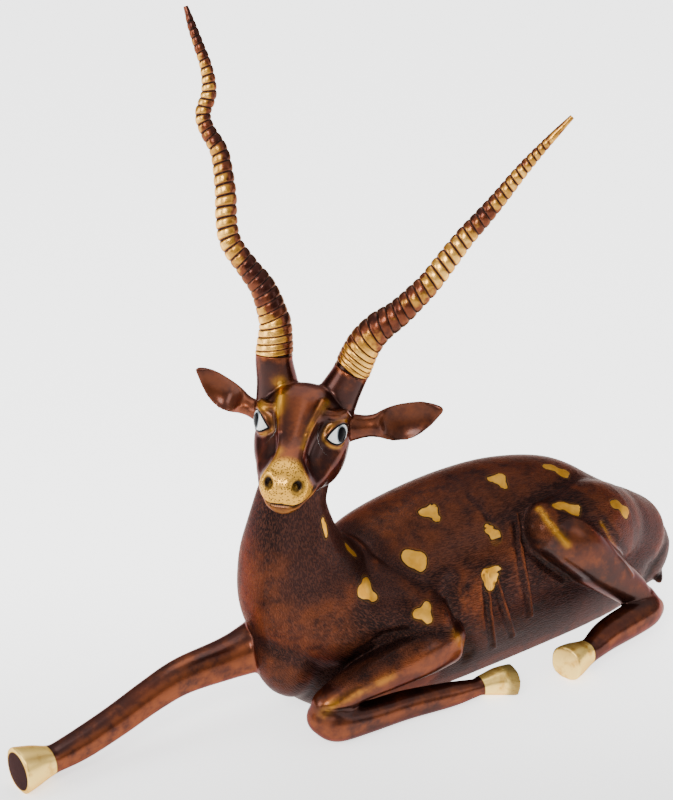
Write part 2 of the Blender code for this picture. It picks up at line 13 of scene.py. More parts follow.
import bpy
import numpy as np
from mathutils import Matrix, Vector

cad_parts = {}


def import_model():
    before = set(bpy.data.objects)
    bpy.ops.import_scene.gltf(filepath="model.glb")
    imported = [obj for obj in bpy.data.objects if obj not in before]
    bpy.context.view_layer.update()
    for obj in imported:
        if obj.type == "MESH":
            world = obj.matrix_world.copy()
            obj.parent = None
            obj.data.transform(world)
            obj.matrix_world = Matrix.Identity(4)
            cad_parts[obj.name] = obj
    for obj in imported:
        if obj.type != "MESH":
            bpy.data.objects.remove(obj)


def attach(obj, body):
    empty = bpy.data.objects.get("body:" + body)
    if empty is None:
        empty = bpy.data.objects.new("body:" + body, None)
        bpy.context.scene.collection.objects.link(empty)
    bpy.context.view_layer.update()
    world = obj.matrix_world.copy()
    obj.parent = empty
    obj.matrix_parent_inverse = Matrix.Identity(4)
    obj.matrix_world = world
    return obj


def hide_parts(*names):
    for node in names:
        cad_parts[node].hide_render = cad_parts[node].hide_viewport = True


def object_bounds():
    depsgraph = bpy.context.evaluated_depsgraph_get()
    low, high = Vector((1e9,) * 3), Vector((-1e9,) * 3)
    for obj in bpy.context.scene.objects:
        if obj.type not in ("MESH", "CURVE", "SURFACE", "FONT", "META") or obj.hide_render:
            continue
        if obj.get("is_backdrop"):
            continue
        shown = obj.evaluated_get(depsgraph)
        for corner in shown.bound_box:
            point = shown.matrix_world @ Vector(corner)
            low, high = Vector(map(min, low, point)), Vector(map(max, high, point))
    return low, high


LOG = logging.getLogger("deer")

# The statue's shares
SHARES_TALL = 688.6           # ground to the tip of the right horn
GROUND = 1.2                  # level that the flat underside is cut at
MIDDLE_Y = 26.0               # middle plane of the body
HORN_GAP = 0.6                # clear gap between a horn's foot and its seat

# Grain of the casting's mesh
VOXEL = 1.25                  # grain of the fused skin, in shares
STAGE_TRIANGLES = 360000      # triangles when the head's are settled
CASTING_TRIANGLES = 193000    # triangles kept on the whole casting
HEAD_REACH = 118.0            # finer triangles are kept this near the middle of the head

Form = tuple[np.ndarray, np.ndarray]


class Side(Enum):
    """Side of the deer's own body, with the sign of its `left` direction."""

    RIGHT = -1
    LEFT = 1


def head_axes(turn: float, tip: float, roll: float) -> np.ndarray:
    """Give the head's forward, up and left directions as rows.

    Args:
        turn: Angle in degrees from the way the body faces towards the deer's left.
        tip: Angle in degrees that the muzzle points below the level.
        roll: Angle in degrees that the crown leans to the left.

    Returns:
        Three unit rows: forward, up and left.
    """
    turn, tip, roll = (math.radians(angle) for angle in (turn, tip, roll))
    forward = np.array([-math.cos(turn) * math.cos(tip), -math.sin(turn) * math.cos(tip), -math.sin(tip)])
    level_left = np.array([math.sin(turn), -math.cos(turn), 0.0])
    level_up = np.cross(forward, level_left)
    up = level_up * math.cos(roll) + level_left * math.sin(roll)
    left = level_left * math.cos(roll) - level_up * math.sin(roll)
    return np.array([forward, up, left])


HEAD_AT = np.array([-65.0, -30.0, 322.0])
HEAD = head_axes(42.0, 13.0, 4.0)
FORWARD, UP, LEFT = HEAD


def on_head(forward: float, up: float, left: float) -> np.ndarray:
    """Turn a place in the head's own shares into a place on the statue."""
    return HEAD_AT + FORWARD * forward + UP * up + LEFT * left


def smooth_rows(rows: np.ndarray, steps: int) -> np.ndarray:
    """Carry rows of numbers along a Catmull-Rom curve.

    Between rows b and c the curve is half of (2b + (c-a)t + (2a-5b+4c-d)t^2 + (3b-a-3c+d)t^3).

    Args:
        rows: Numbers to carry, one row for each stop.
        steps: Steps between two stops.

    Returns:
        The rows of the curve, first and last stop among them.
    """
    rows = np.asarray(rows, float)
    padded = np.vstack([2.0 * rows[0] - rows[1], rows, 2.0 * rows[-1] - rows[-2]])
    t = (np.arange(steps) / steps)[None, :, None]
    a, b, c, d = (padded[i:len(padded) - 3 + i, None, :] for i in range(4))
    curve = 0.5 * (2.0 * b + (c - a) * t + (2.0 * a - 5.0 * b + 4.0 * c - d) * t ** 2
                   + (3.0 * b - a - 3.0 * c + d) * t ** 3)
    return np.vstack([curve.reshape(-1, rows.shape[1]), rows[-1:]])


def smooth_ring(ring: np.ndarray, steps: int) -> np.ndarray:
    """Round a closed ring of corners, given as (corners, 2), by the same curve all the way round."""
    wrapped = np.vstack([ring[-2:], ring, ring[:2]])
    curve = smooth_rows(wrapped, steps)
    return curve[2 * steps:(2 + len(ring)) * steps]


def grid_triangles(rings: int, sides: int) -> np.ndarray:
    """List the triangles of a closed tube of rings whose two poles come after the rings' points.

    Point (ring, side) joins (ring + 1, side) and (ring, side + 1), and a fan closes each end.

    Args:
        rings: Number of rings.
        sides: Points on a ring.

    Returns:
        Triangles as rows of three indices.
    """
    ring, side = np.meshgrid(np.arange(rings - 1), np.arange(sides), indexing="ij")
    here = ring * sides + side
    beside = ring * sides + (side + 1) % sides
    wall = np.concatenate([
        np.stack([here, beside, beside + sides], -1).reshape(-1, 3),
        np.stack([here, beside + sides, here + sides], -1).reshape(-1, 3),
    ])
    around = np.arange(sides)
    after = (around + 1) % sides
    first = rings * sides
    last = (rings - 1) * sides
    start = np.stack([after, around, np.full(sides, first)], -1)
    end = np.stack([last + around, last + after, np.full(sides, first + 1)], -1)
    return np.concatenate([wall, start, end])


def tube(points: np.ndarray) -> Form:
    """Close a grid of rings, given as (rings, sides, 3), with a pole in the middle of each end."""
    rings, sides = points.shape[:2]
    poles = np.array([points[0].mean(axis=0), points[-1].mean(axis=0)])
    return np.vstack([points.reshape(-1, 3), poles]), grid_triangles(rings, sides)


def carried(rows: object, across: object = (0.0, -1.0, 0.0), fullness: float = 2.0, steps: int = 6,
            domes: bool = True, sides: int = 36) -> Form:
    """Carry an oval profile along a smooth path.

    A profile point is line + wide * w * cos(a) + tall * h * sin(a), where both waves are raised to
    2 / fullness, h is the height above for the upper half and the depth below for the lower, and
    the dome at an end is a quarter turn of ever smaller profiles.

    Args:
        rows: x, y, z and a radius, or x, y, z, half width, height above and depth below.
        across: Direction of the width.
        fullness: 2 for an oval, more for a squarer profile.
        steps: Steps between two rows.
        domes: Whether the ends are domed or flat.
        sides: Points on a profile.

    Returns:
        Points and triangles of the closed form.
    """
    rows = np.asarray(rows, float)
    if rows.shape[1] == 4:
        rows = np.column_stack([rows, rows[:, 3], rows[:, 3]])
    rows = smooth_rows(rows, steps)
    if domes:
        rows = domed(rows)
    line = rows[:, :3]
    along = np.gradient(line, axis=0)
    along /= np.linalg.norm(along, axis=1)[:, None]
    wide = np.asarray(across, float) - along * (along @ np.asarray(across, float))[:, None]
    wide /= np.linalg.norm(wide, axis=1)[:, None]
    tall = np.cross(wide, along)
    angle = np.linspace(0.0, 2.0 * math.pi, sides, endpoint=False)
    cos = np.sign(np.cos(angle)) * np.abs(np.cos(angle)) ** (2.0 / fullness)
    sin = np.sign(np.sin(angle)) * np.abs(np.sin(angle)) ** (2.0 / fullness)
    height = np.where(sin > 0.0, rows[:, 4:5], rows[:, 5:6])
    return tube(line[:, None, :] + wide[:, None, :] * (rows[:, 3:4] * cos)[:, :, None]
                + tall[:, None, :] * (height * sin)[:, :, None])


def domed(rows: np.ndarray, steps: int = 6) -> np.ndarray:
    """Add rows past both ends whose place follows a sine and whose size follows a cosine."""
    angle = np.linspace(0.0, math.pi / 2.0, steps + 1)[1:] * 0.96
    caps = []
    for end, inner in ((rows[0], rows[1]), (rows[-1], rows[-2])):
        out = end[:3] - inner[:3]
        out = out / np.linalg.norm(out)
        reach = 0.5 * (end[3] + 0.5 * (end[4] + end[5]))
        cap = np.tile(end, (steps, 1))
        cap[:, :3] += out * (np.sin(angle) * reach)[:, None]
        cap[:, 3:6] *= np.cos(angle)[:, None]
        caps.append(cap)
    return np.vstack([caps[0][::-1], rows, caps[1]])


def other_side(places: object) -> np.ndarray:
    """Give places on the deer's left side their match on its right side."""
    places = np.array(places, float)
    places[..., 1] = 2.0 * MIDDLE_Y - places[..., 1]
    return places


def line_distance(places: np.ndarray, line: object) -> np.ndarray:
    """Give each place's distance to a line of straight pieces, the least over its pieces.

    Args:
        places: Places as rows.
        line: The line's points as rows of as many numbers.

    Returns:
        One distance for each place.
    """
    line = np.asarray(line, float)
    best = np.full(len(places), np.inf)
    for start, end in zip(line[:-1], line[1:]):
        step = end - start
        share = np.clip((places - start) @ step / (step @ step), 0.0, 1.0)
        best = np.minimum(best, np.linalg.norm(places - start - share[:, None] * step, axis=1))
    return best


def bell(distance: np.ndarray, width: float) -> np.ndarray:
    """Give exp(-(distance / width)^2), a soft hump."""
    return np.exp(-(distance / width) ** 2)


def ramp(value: np.ndarray, start: float, end: float) -> np.ndarray:
    """Give a smooth step that is 0 at `start` and 1 at `end`: 3t^2 - 2t^3."""
    t = np.clip((value - start) / (end - start), 0.0, 1.0)
    return t * t * (3.0 - 2.0 * t)


# The body's forms


@dataclass
class Trunk:
    """Barrel, neck and tail."""

    barrel: list = field(default_factory=lambda: [
        # x, y, z, half width, above, below
        (-38, 15, 82, 40, 42, 62), (-14, 18, 78, 57, 60, 78), (18, 22, 74, 73, 86, 98),
        (60, 25, 70, 80, 109, 112), (125, 27, 68, 83, 122, 118), (190, 28, 66, 85, 127, 118),
        (250, 27, 64, 84, 125, 118), (315, 23, 60, 80, 112, 108), (372, 16, 54, 70, 82, 94),
        (414, 9, 46, 56, 61, 72), (436, 4, 38, 39, 46, 48),
    ])
    neck: list = field(default_factory=lambda: [
        # x, y, z, radius
        (78, 27, 84, 58), (44, 26, 92, 66), (14, 22, 101, 70), (-14, 19, 117, 70),
        (-33, 14, 142, 64.5), (-46, 10, 177, 53.5), (-53, 4, 212, 42.5), (-54.5, 0, 242, 34.3),
        (-51, -4, 264, 31.2), (-47, -8, 288, 31),
    ])
    neck_radius_at_head: float = 27.0
    tail: list = field(default_factory=lambda: [
        (436, 4, 52, 10), (449, -5, 34, 9), (456, -13, 16, 7.5), (455, -21, 5, 6), (449, -28, 3, 4.5),
    ])

    def forms(self) -> list[Form]:
        """Give the closed forms of the trunk."""
        nape = (*on_head(-20, -12, 0), self.neck_radius_at_head)
        return [
            carried(self.barrel, fullness=2.15, sides=64),
            carried([*self.neck, nape], (0.0, 1.0, 0.0), sides=56),
            carried(self.tail, sides=24),
        ]


@dataclass
class ForeLegs:
    """Left fore leg folded under the breast, right fore leg stretched out along the ground."""

    blade: list = field(default_factory=lambda: [
        (-10, 6, 114, 58), (14, -2, 112, 50), (40, -14, 108, 43), (66, -26, 98, 38),
    ])
    shoulder: list = field(default_factory=lambda: [
        (26, -14, 140, 22), (50, -26, 112, 32), (78, -38, 84, 33), (94, -46, 64, 27),
    ])
    fore_arm: list = field(default_factory=lambda: [
        (96, -52, 62, 25), (60, -57, 64, 25), (16, -57, 60, 21), (-24, -53, 52, 17.5),
        (-49.5, -50, 40, 16.5),
    ])
    shank: list = field(default_factory=lambda: [
        (-51.5, -48, 27, 18.5), (-41, -54, 20, 19), (-10, -61, 17, 15.5), (34, -66, 16, 14.5),
        (84, -77, 14.5, 12.5), (112, -82, 13.5, 9.5), (122, -83, 13.5, 8.5),
    ])
    hoof: list = field(default_factory=lambda: [
        (118, -82, 14, 9.5, 8.5, 9), (132, -86, 15.5, 12, 11.5, 13.5), (146, -90, 16, 15, 11.5, 16.5),
        (157, -94, 15.5, 18, 11.5, 17.5),
    ])
    stretched: list = field(default_factory=lambda: [
        (20, 44, 92, 38, 40, 40), (-40, 42, 76, 29.5, 29.5, 30), (-76, 46, 67, 23, 24, 23),
        (-102, 50, 62, 19.5, 22, 18.5), (-149, 54, 58, 17, 20.5, 15), (-184, 56, 49, 15.5, 18, 14.5),
        (-223, 57, 36, 15, 16.5, 14), (-262, 58, 26, 14.5, 14.5, 14.5),
        (-292, 59, 21.5, 13, 11.5, 13.5),
    ])
    stretched_hoof: list = field(default_factory=lambda: [
        (-288, 59, 22, 13, 11.5, 13), (-297, 59, 22, 14.5, 14, 15), (-310, 60, 22, 18.5, 18.5, 18.5),
        (-327, 60, 22, 22, 23, 22),
    ])

    def stretched_line(self) -> np.ndarray:
        """Give the middle line of the stretched leg, from the elbow to the hoof."""
        return np.array(self.stretched, float)[2:, :3]

    def forms(self) -> list[Form]:
        """Give the closed forms of both fore legs."""
        return [
            carried(self.blade, sides=48),
            carried(self.shoulder),
            carried(self.fore_arm, fullness=2.3),
            carried(self.shank, fullness=2.2),
            carried(self.hoof, (0.2, -1.0, 0.0), fullness=2.5, domes=False),
            carried(self.stretched, (0.0, 1.0, 0.0), fullness=2.35),
            carried(self.stretched_hoof, (0.0, 1.0, 0.0), fullness=2.3, domes=False),
        ]


@dataclass
class HindLegs:
    """Left hind leg folded with its foot turned forward, and the right one lying hidden."""

    thigh: list = field(default_factory=lambda: [
        (395, -3, 85, 36), (356, -16, 98, 48.5), (310, -30, 118, 48), (268, -38, 130, 38),
        (240, -44, 140, 28),
    ])
    lower_thigh: list = field(default_factory=lambda: [
        (238, -48, 140, 26), (262, -58, 124, 30), (295, -67, 92, 27), (331, -77, 59, 20.5),
        (355, -86, 36, 15.5), (362, -92, 26, 13.5),
    ])
    foot: list = field(default_factory=lambda: [
        (364, -92, 25, 14), (348, -97, 26.5, 16.5), (320, -99, 26, 17.5), (282, -103, 24.5, 16),
        (252, -110, 21.5, 12.5), (244, -111, 21, 12),
    ])
    rump: list = field(default_factory=lambda: [(376, -12, 92, 44), (412, -3, 68, 46)])
    hoof: list = field(default_factory=lambda: [
        (252, -110, 21, 12, 12, 11.5), (240, -111, 20.5, 13, 14, 12.5),
        (223, -113, 20.5, 16.5, 18, 16), (209, -115, 20.5, 18.5, 19.5, 16.5),
    ])
    far_thigh: list = field(default_factory=lambda: [
        (400, 36, 66, 36), (350, 58, 74, 43), (300, 68, 82, 39), (264, 72, 90, 31), (242, 74, 92, 23),
    ])
    far_lower_thigh: list = field(default_factory=lambda: [
        (240, -30, 84, 22), (266, -42, 76, 25), (300, -50, 58, 23), (338, -57, 38, 18), (366, -62, 24, 14.5),
    ])
    far_foot: list = field(default_factory=lambda: [
        (368, -64, 18, 14), (330, -70, 16, 13.5), (286, -72, 15, 13), (256, -72, 14, 11),
    ])
    far_hoof: list = field(default_factory=lambda: [
        (260, -72, 14, 11, 11, 11), (244, -72, 15, 14, 14, 14), (232, -72, 16, 16, 15, 15),
    ])

    def forms(self) -> list[Form]:
        """Give the closed forms of both hind legs."""
        return [
            carried(self.thigh, sides=48),
            carried(self.rump, steps=4, sides=48),
            carried(self.lower_thigh, fullness=2.2),
            carried(self.foot, fullness=2.15),
            carried(self.hoof, (-0.1, 1.0, 0.0), fullness=2.4, domes=False),
            carried(self.far_thigh, sides=48),
            carried(other_side(self.far_lower_thigh)),
            carried(other_side(self.far_foot)),
            carried(other_side(self.far_hoof), domes=False),
        ]


@dataclass
class Eye:
    """One almond eye, drawn on the plane that faces away from the middle of its ball.

    `places` gives, for any place on the statue, how far along the eye it lies from the middle,
    how far up, and how far off the eye's plane.
    """

    side: Side
    ball: tuple                       # middle of the ball, in the head's own shares
    radius: float = 17.4
    facing: tuple = (0.50, 0.20, 0.84)
    backward: tuple = (-0.85, -0.07, 0.52)
    half_length: float = 13.6
    half_height: float = 8.8

    def axes(self) -> np.ndarray:
        """Give the eye's backward, upward and outward directions on the statue, as rows."""
        sign = self.side.value
        out = np.array(self.facing) * (1.0, 1.0, sign)
        out /= np.linalg.norm(out)
        back = np.array(self.backward) * (1.0, 1.0, sign)
        back -= out * (back @ out)
        back /= np.linalg.norm(back)
        up = np.cross(out, back)
        up *= np.sign(up[1])
        return np.array([back, up, out]) @ HEAD

    def disc_radius(self) -> float:
        """Give the radius of the two discs whose overlap is the almond."""
        return (self.half_length ** 2 + self.half_height ** 2) / (2.0 * self.half_height)

    def middle(self) -> np.ndarray:
        """Give the middle of the almond, on the ball."""
        return on_head(*self.ball) + self.axes()[2] * self.radius

    def places(self, points: np.ndarray) -> np.ndarray:
        """Give along, up and off the plane for each place."""
        return (points - self.middle()) @ self.axes().T

    def almond(self, points: np.ndarray) -> np.ndarray:
        """Give the distance past the almond's edge: the farther of two crossing discs, less their radius."""
        own = self.places(points)
        radius = self.disc_radius()
        sunk = radius - self.half_height
        above = np.hypot(own[:, 0], own[:, 1] + sunk) - radius
        below = np.hypot(own[:, 0], own[:, 1] - sunk) - radius
        return np.maximum(above, below)

    def form(self) -> Form:
        """Give the ball of the eye."""
        middle = on_head(*self.ball)
        rows = [(*(middle - FORWARD * 0.5), self.radius), (*(middle + FORWARD * 0.5), self.radius)]
        return carried(rows, LEFT, steps=1, sides=32)


@dataclass
class Head:
    """Skull lofted through drawn sections, with ears, stumps for the horns and eyes."""

    sections: list = field(default_factory=lambda: [
        # forward, then up and left of: crown, ridge, slope, orbit, widest, cheek, jaw, throat, middle below
        (-50, (16, 0), (14, 9), (9, 15), (3, 19), (-3, 20), (-11, 19), (-20, 14), (-26, 7), (-28, 0)),
        (-40, (30, 0), (27, 14), (21, 23), (12, 30), (2, 33), (-12, 33), (-28, 26), (-39, 14), (-41, 0)),
        (-27, (37, 0), (36, 17), (29, 27), (19, 35), (6, 39), (-12, 40.5), (-35, 35), (-47, 20), (-49, 0)),
        (-14, (37, 0), (38, 19), (32, 28), (22, 36), (8, 41), (-12, 43.5), (-38, 37.5), (-49, 22), (-51, 0)),
        (-2, (34, 0), (37, 19), (30, 27), (21, 34), (8, 39), (-12, 43), (-38, 37.5), (-49, 22), (-51, 0)),
        (8, (31, 0), (35, 17.5), (26, 25), (16, 31), (6, 36), (-12, 41.5), (-37, 36), (-47, 21), (-49, 0)),
        (18, (28, 0), (31.5, 15), (21, 20), (12, 26), (2, 32), (-12, 39), (-35, 33.5), (-45, 19), (-47, 0)),
        (30, (24.5, 0), (27, 12.5), (16, 16), (7, 22), (-2, 28.5), (-13, 35), (-31, 29), (-40, 16), (-42, 0)),
        (42, (21.5, 0), (22.3, 11.3), (12, 14), (4, 19), (-4, 26), (-13, 32), (-27, 26), (-35, 13.5),
         (-37, 0)),
        (54, (19.5, 0), (19.3, 10.8), (10, 14), (3, 18.5), (-4, 24), (-12, 28.5), (-23, 22.5), (-30, 11),
         (-32, 0)),
        (66, (18.5, 0), (17.5, 12.3), (10, 17), (3, 20.5), (-4, 23.5), (-12, 25), (-21, 19), (-27, 9),
         (-29, 0)),
        (76, (17, 0), (15.5, 13), (10, 18.5), (3, 21.5), (-4, 22), (-11, 21), (-20, 16), (-26, 8), (-28, 0)),
        (84, (13, 0), (12, 11), (7.5, 16.5), (2, 19), (-4, 18.5), (-10, 17), (-18, 14), (-24, 7), (-26, 0)),
        (89, (7, 0), (6.5, 6.5), (4, 10.5), (0.5, 12.5), (-4, 12.5), (-9, 12), (-15, 10), (-19.5, 5.5),
         (-20.5, 0)),
    ])
    seats: dict = field(default_factory=lambda: {
        Side.RIGHT: (on_head(-42, 55, -33), 17.2),
        Side.LEFT: (on_head(-42, 48, 38.5), 16.8),
    })
    ears: dict = field(default_factory=lambda: {
        Side.RIGHT: ((-30, -4, -34), (-42, 2, -78), (-55, 20, -110)),
        Side.LEFT: ((-30, -8, 34), (-42, -4.5, 85), (-55, 8.5, 124)),
    })
    ear_rim: float = 1.6
    ear_breadth: dict = field(default_factory=lambda: {Side.RIGHT: 0.87, Side.LEFT: 1.03})
    eyes: dict = field(default_factory=lambda: {
        Side.RIGHT: Eye(Side.RIGHT, (0.0, 12.5, -26.0)),
        Side.LEFT: Eye(Side.LEFT, (0.0, 8.5, 25.5)),
    })

    def skull(self) -> Form:
        """Loft the skull: each half section is mirrored, rounded and carried along the head."""
        stations = np.array([[section[0]] for section in self.sections], float)
        halves = np.array([section[1:] for section in self.sections], float)
        mirrored = halves[:, -2:0:-1] * (1.0, -1.0)
        rings = np.concatenate([halves, mirrored], axis=1)
        rings = np.array([smooth_ring(ring, 4) for ring in rings])
        flat = smooth_rows(np.column_stack([stations, rings.reshape(len(rings), -1)]), 6)
        rings = flat[:, 1:].reshape(len(flat), -1, 2)
        points = (HEAD_AT + FORWARD * flat[:, :1, None] + UP * rings[:, :, :1] + LEFT * rings[:, :, 1:])
        return tube(points)

    def horn_start(self, side: Side, line: np.ndarray) -> np.ndarray:
        """Give the direction in which a horn leaves its seat."""
        rise = line[1, :3] - self.seats[side][0]
        return rise / np.linalg.norm(rise)

    def pedicle(self, side: Side, out: np.ndarray) -> Form:
        """Give the stump that carries a horn, a little longer than its seat is high."""
        seat, radius = self.seats[side]
        root = on_head(-30, 4, -25 if side is Side.RIGHT else 20)
        rows = [(*root, 23), (*(0.5 * root + 0.5 * seat), 19), (*(seat - out * 6), radius),
                (*(seat + out * 5), radius)]
        return carried(rows, LEFT, domes=False)

    def ear(self, side: Side) -> Form:
        """Give a leaf shaped cup on a round stalk, open to the front.

        Around the leaf at angle a, a point lies at half_width * cos(a) across and at
        -bulge * |sin(a)| behind, or -hollow * |sin(a)| for the inside, with a thin rim between.
        """
        path = np.array([on_head(*place) for place in self.ears[side]])
        face = FORWARD * 0.88 + UP * 0.42 + LEFT * 0.2 * side.value
        shape = smooth_rows([
            # share of the length, half width, back bulge, hollow
            (0.0, 15, 14, -13), (0.12, 12, 11, -11), (0.24, 10, 9.5, -9), (0.34, 11, 10, -8.5),
            (0.43, 14.5, 12, 1), (0.54, 17, 12.5, 7), (0.66, 17, 11.5, 7.5), (0.79, 14.5, 8.5, 5),
            (0.9, 9.5, 5, 2), (1.0, 2.8, 2.2, -2.2),
        ], 6)
        shape[:, 1] *= self.ear_breadth[side]
        along = (path[-1] - path[0]) / np.linalg.norm(path[-1] - path[0])
        face = face - along * (face @ along)
        face /= np.linalg.norm(face)
        wide = np.cross(along, face)
        stops = smooth_rows(np.column_stack([(0.0, 0.56, 1.0), path]), 10)
        line = np.column_stack([np.interp(shape[:, 0], stops[:, 0], stops[:, i]) for i in (1, 2, 3)])
        angle = np.linspace(0.0, 2.0 * math.pi, 48, endpoint=False)
        swell = np.abs(np.sin(angle))
        rim = self.ear_rim * swell ** 0.3
        depth = np.where(np.sin(angle) >= 0.0, -shape[:, 2:3] * swell - rim, -shape[:, 3:4] * swell + rim)
        return tube(line[:, None, :] + wide * (shape[:, 1:2] * np.cos(angle))[:, :, None]
                    + face * depth[:, :, None])

    def orbit(self, side: Side) -> Form:
        """Give the arch of bone over the eye, from the stump of the horn round to the temple."""
        sign = side.value
        rows = [(*on_head(4, 29, 22 * sign), 5), (*on_head(2, 27, 31 * sign), 5.5),
                (*on_head(-6, 24, 37 * sign), 5.5), (*on_head(-14, 15, 40 * sign), 4.5)]
        return carried(rows, LEFT, sides=20)

    def forms(self, starts: dict) -> list[Form]:
        """Give the closed forms of the head; `starts` holds each horn's direction at its seat."""
        made = [self.skull()]
        for side in Side:
            made += [self.pedicle(side, starts[side]), self.ear(side), self.orbit(side)]
            made.append(self.eyes[side].form())
        return made


# Carving


@dataclass(frozen=True)
class Crease:
    """A carved line on the skin: a groove where depth is above 0, a raised line where it is below."""

    line: tuple
    width: float
    depth: float
    both_sides: bool = True


@dataclass(frozen=True)
class FlankLine:
    """A groove down both flanks, or a cord where its depth is below 0; its places are x and z."""

    line: tuple
    width: float
    depth: float


@dataclass
class Carving:
    """Everything that is chased into the fused skin."""

    head: Head
    flank_lines: tuple = (
        FlankLine(((151, 116), (150, 99), (152, 76), (157, 51), (162, 34)), 3.6, 1.5),
        FlankLine(((165, 103), (168, 87), (177, 62), (189, 36)), 3.6, 1.5),
        FlankLine(((205, 150), (200, 131), (201, 108), (206, 81), (211, 56)), 4.0, 1.2),
        FlankLine(((155, 118), (155, 99), (157, 76), (162, 51), (168, 28)), 1.5, -1.4),
        FlankLine(((168, 106), (173, 87), (182, 62), (194, 33)), 1.5, -1.5),
        FlankLine(((212, 160), (206, 137), (206, 111), (211, 81), (217, 50)), 1.6, -1.1),
        FlankLine(((107, 120), (104, 86), (112, 55), (127, 34)), 9.0, 3.0),
        FlankLine(((214, 135), (235, 106), (262, 82)), 7.0, 2.6),
    )
    creases: tuple = (
        Crease(((174, 26, 190), (168, -7, 180), (175, -27, 164)), 3.0, 1.2, False),
        Crease(((292, -76, 136), (310, -90, 106), (326, -94, 78)), 3.0, -1.6),
        Crease(((300, -74, 140), (320, -84, 112), (338, -88, 86)), 5.0, 2.2),
        Crease(((-70, -60, 45), (-30, -72, 37), (20, -82, 37), (62, -84, 38), (92, -80, 34)),
               3.4, 3.0, False),
        Crease(((-10, -50, 82), (20, -50, 92), (44, -54, 96)), 4.0, 2.6, False),
    )
    nostrils: tuple = ((85.0, 7.5, -13.7), (85.0, 7.5, 13.7))
    nostril_size: tuple = (7.8, 6.4, 5.7)
    mouth_height: float = -13.0
    mouth_rise: float = 5.0
    ridge: tuple = ((-4, 37, 19), (10, 35, 16.5), (20, 31, 14.5), (32, 26.5, 12.3))

    def both(self, line: object) -> list:
        """Give a line in the head's own shares on the left and on the right side."""
        line = np.array(line, float)
        return [line, line * (1.0, 1.0, -1.0)]

    def mouth(self, own: np.ndarray, width: float) -> np.ndarray:
        """Give 1 on the slit of the mouth, which runs round the muzzle and rises at its corners."""
        height = self.mouth_height + self.mouth_rise * ramp(own[:, 0], 82.0, 62.0)
        return ramp(own[:, 0], 58.0, 66.0) * bell(own[:, 1] - height, width)

    def sink(self, points: np.ndarray) -> np.ndarray:
        """Give how far the carving sinks each place of the skin, in shares.

        Args:
            points: Places on the fused skin, in shares.

        Returns:
            A depth for each place, below 0 where the skin is raised.
        """
        depth = np.zeros(len(points))
        near_flank = ramp(points[:, 1], MIDDLE_Y - 20.0, MIDDLE_Y - 40.0)
        far_flank = ramp(points[:, 1], MIDDLE_Y + 30.0, MIDDLE_Y + 50.0)
        for cut in self.flank_lines:
            away = line_distance(points[:, [0, 2]], cut.line)
            depth += cut.depth * bell(away, cut.width) * np.maximum(near_flank, 0.7 * far_flank)
        for crease in self.creases:
            depth += crease.depth * bell(line_distance(points, crease.line), crease.width)
            if crease.both_sides:
                other = line_distance(points, other_side(crease.line))
                depth += 0.8 * crease.depth * bell(other, crease.width)
        near = np.linalg.norm(points - HEAD_AT, axis=1) < HEAD_REACH
        depth[near] += self.sink_head(points[near])
        return depth

    def sink_head(self, points: np.ndarray) -> np.ndarray:
        """Give the carving of the head: nostrils, mouth, ridges, sockets and lids."""
        own = (points - HEAD_AT) @ HEAD.T
        depth = np.zeros(len(points))
        for place in self.nostrils:
            away = np.linalg.norm((own - place) / self.nostril_size, axis=1)
            depth += 7.5 * bell(away, 0.85)
            depth -= 0.35 * bell(away - 1.6, 0.5)
        depth += 2.8 * self.mouth(own, 1.6)
        depth += 0.9 * bell(line_distance(own, ((86, -4, 0), (88, -11, 0))), 1.5)
        for line in self.both(self.ridge):
            depth -= 1.8 * bell(line_distance(own, line), 3.4)
        for line in self.both(((12, 20, 24), (24, 14, 20), (38, 8, 17))):
            depth += 2.2 * bell(line_distance(own, line), 6.0)
        for line in self.both(((2, -6, 37), (22, -10, 31), (42, -12, 23))):
            depth -= 1.0 * bell(line_distance(own, line), 5.0)
        for eye in self.head.eyes.values():
            facing = eye.places(points)[:, 2] > -14.0
            edge = eye.almond(points)
            depth += facing * (0.7 * bell(edge - 0.2, 1.0) - 0.8 * bell(edge - 2.2, 1.6))
            depth += facing * 0.4 * bell(edge - 6.0, 3.0)
        return depth

    def settle(self, points: np.ndarray, starts: dict) -> None:
        """Press the ground and both horn seats flat, in place.

        Args:
            points: Places on the skin, in shares, changed in place.
            starts: Direction of each horn at its seat.
        """
        for side, out in starts.items():
            seat, radius = self.head.seats[side]
            rise = (points - seat) @ out
            off = np.linalg.norm(points - seat - rise[:, None] * out, axis=1)
            above = (rise > 0.0) & (off < radius + 5.0) & (rise < 12.0)
            points[above] -= out * rise[above, None]
        points[:, 2] = np.maximum(points[:, 2], GROUND)


# Spots


@dataclass(frozen=True)
class Spot:
    """A gilded spot: soft joined discs on the plane that touches the skin."""

    place: tuple
    facing: tuple
    lobes: tuple                      # along the body, up the body and radius of each disc
    turn: float = 0.0


TREFOIL = ((-7.0, 3.5, 5.0), (6.5, 4.5, 5.0), (2.0, -8.0, 4.6), (0.5, 0.0, 5.5))
HEART = ((-8.0, -2.0, 7.0), (2.0, 6.0, 6.5), (8.0, -8.5, 4.5), (0.0, -2.0, 7.0))
DIAMOND = ((-6.0, 5.0, 7.0), (5.0, -2.0, 8.0), (3.0, -9.0, 5.0), (-3.0, 0.0, 7.5))
PEAR = ((-4.0, 5.5, 5.5), (2.5, -3.0, 6.5), (1.0, -8.0, 5.0))
BEAN = ((-7.0, 1.0, 4.5), (1.0, -1.0, 4.5), (8.0, -0.5, 3.5))
SLIVER = ((-0.5, 9.0, 2.6), (0.5, 1.0, 3.8), (0.0, -7.0, 2.4))
SPLASH = ((-12.0, 3.0, 5.0), (-3.0, 4.0, 5.5), (4.0, -4.0, 6.5), (13.0, -2.0, 4.2), (8.0, -9.0, 2.6))


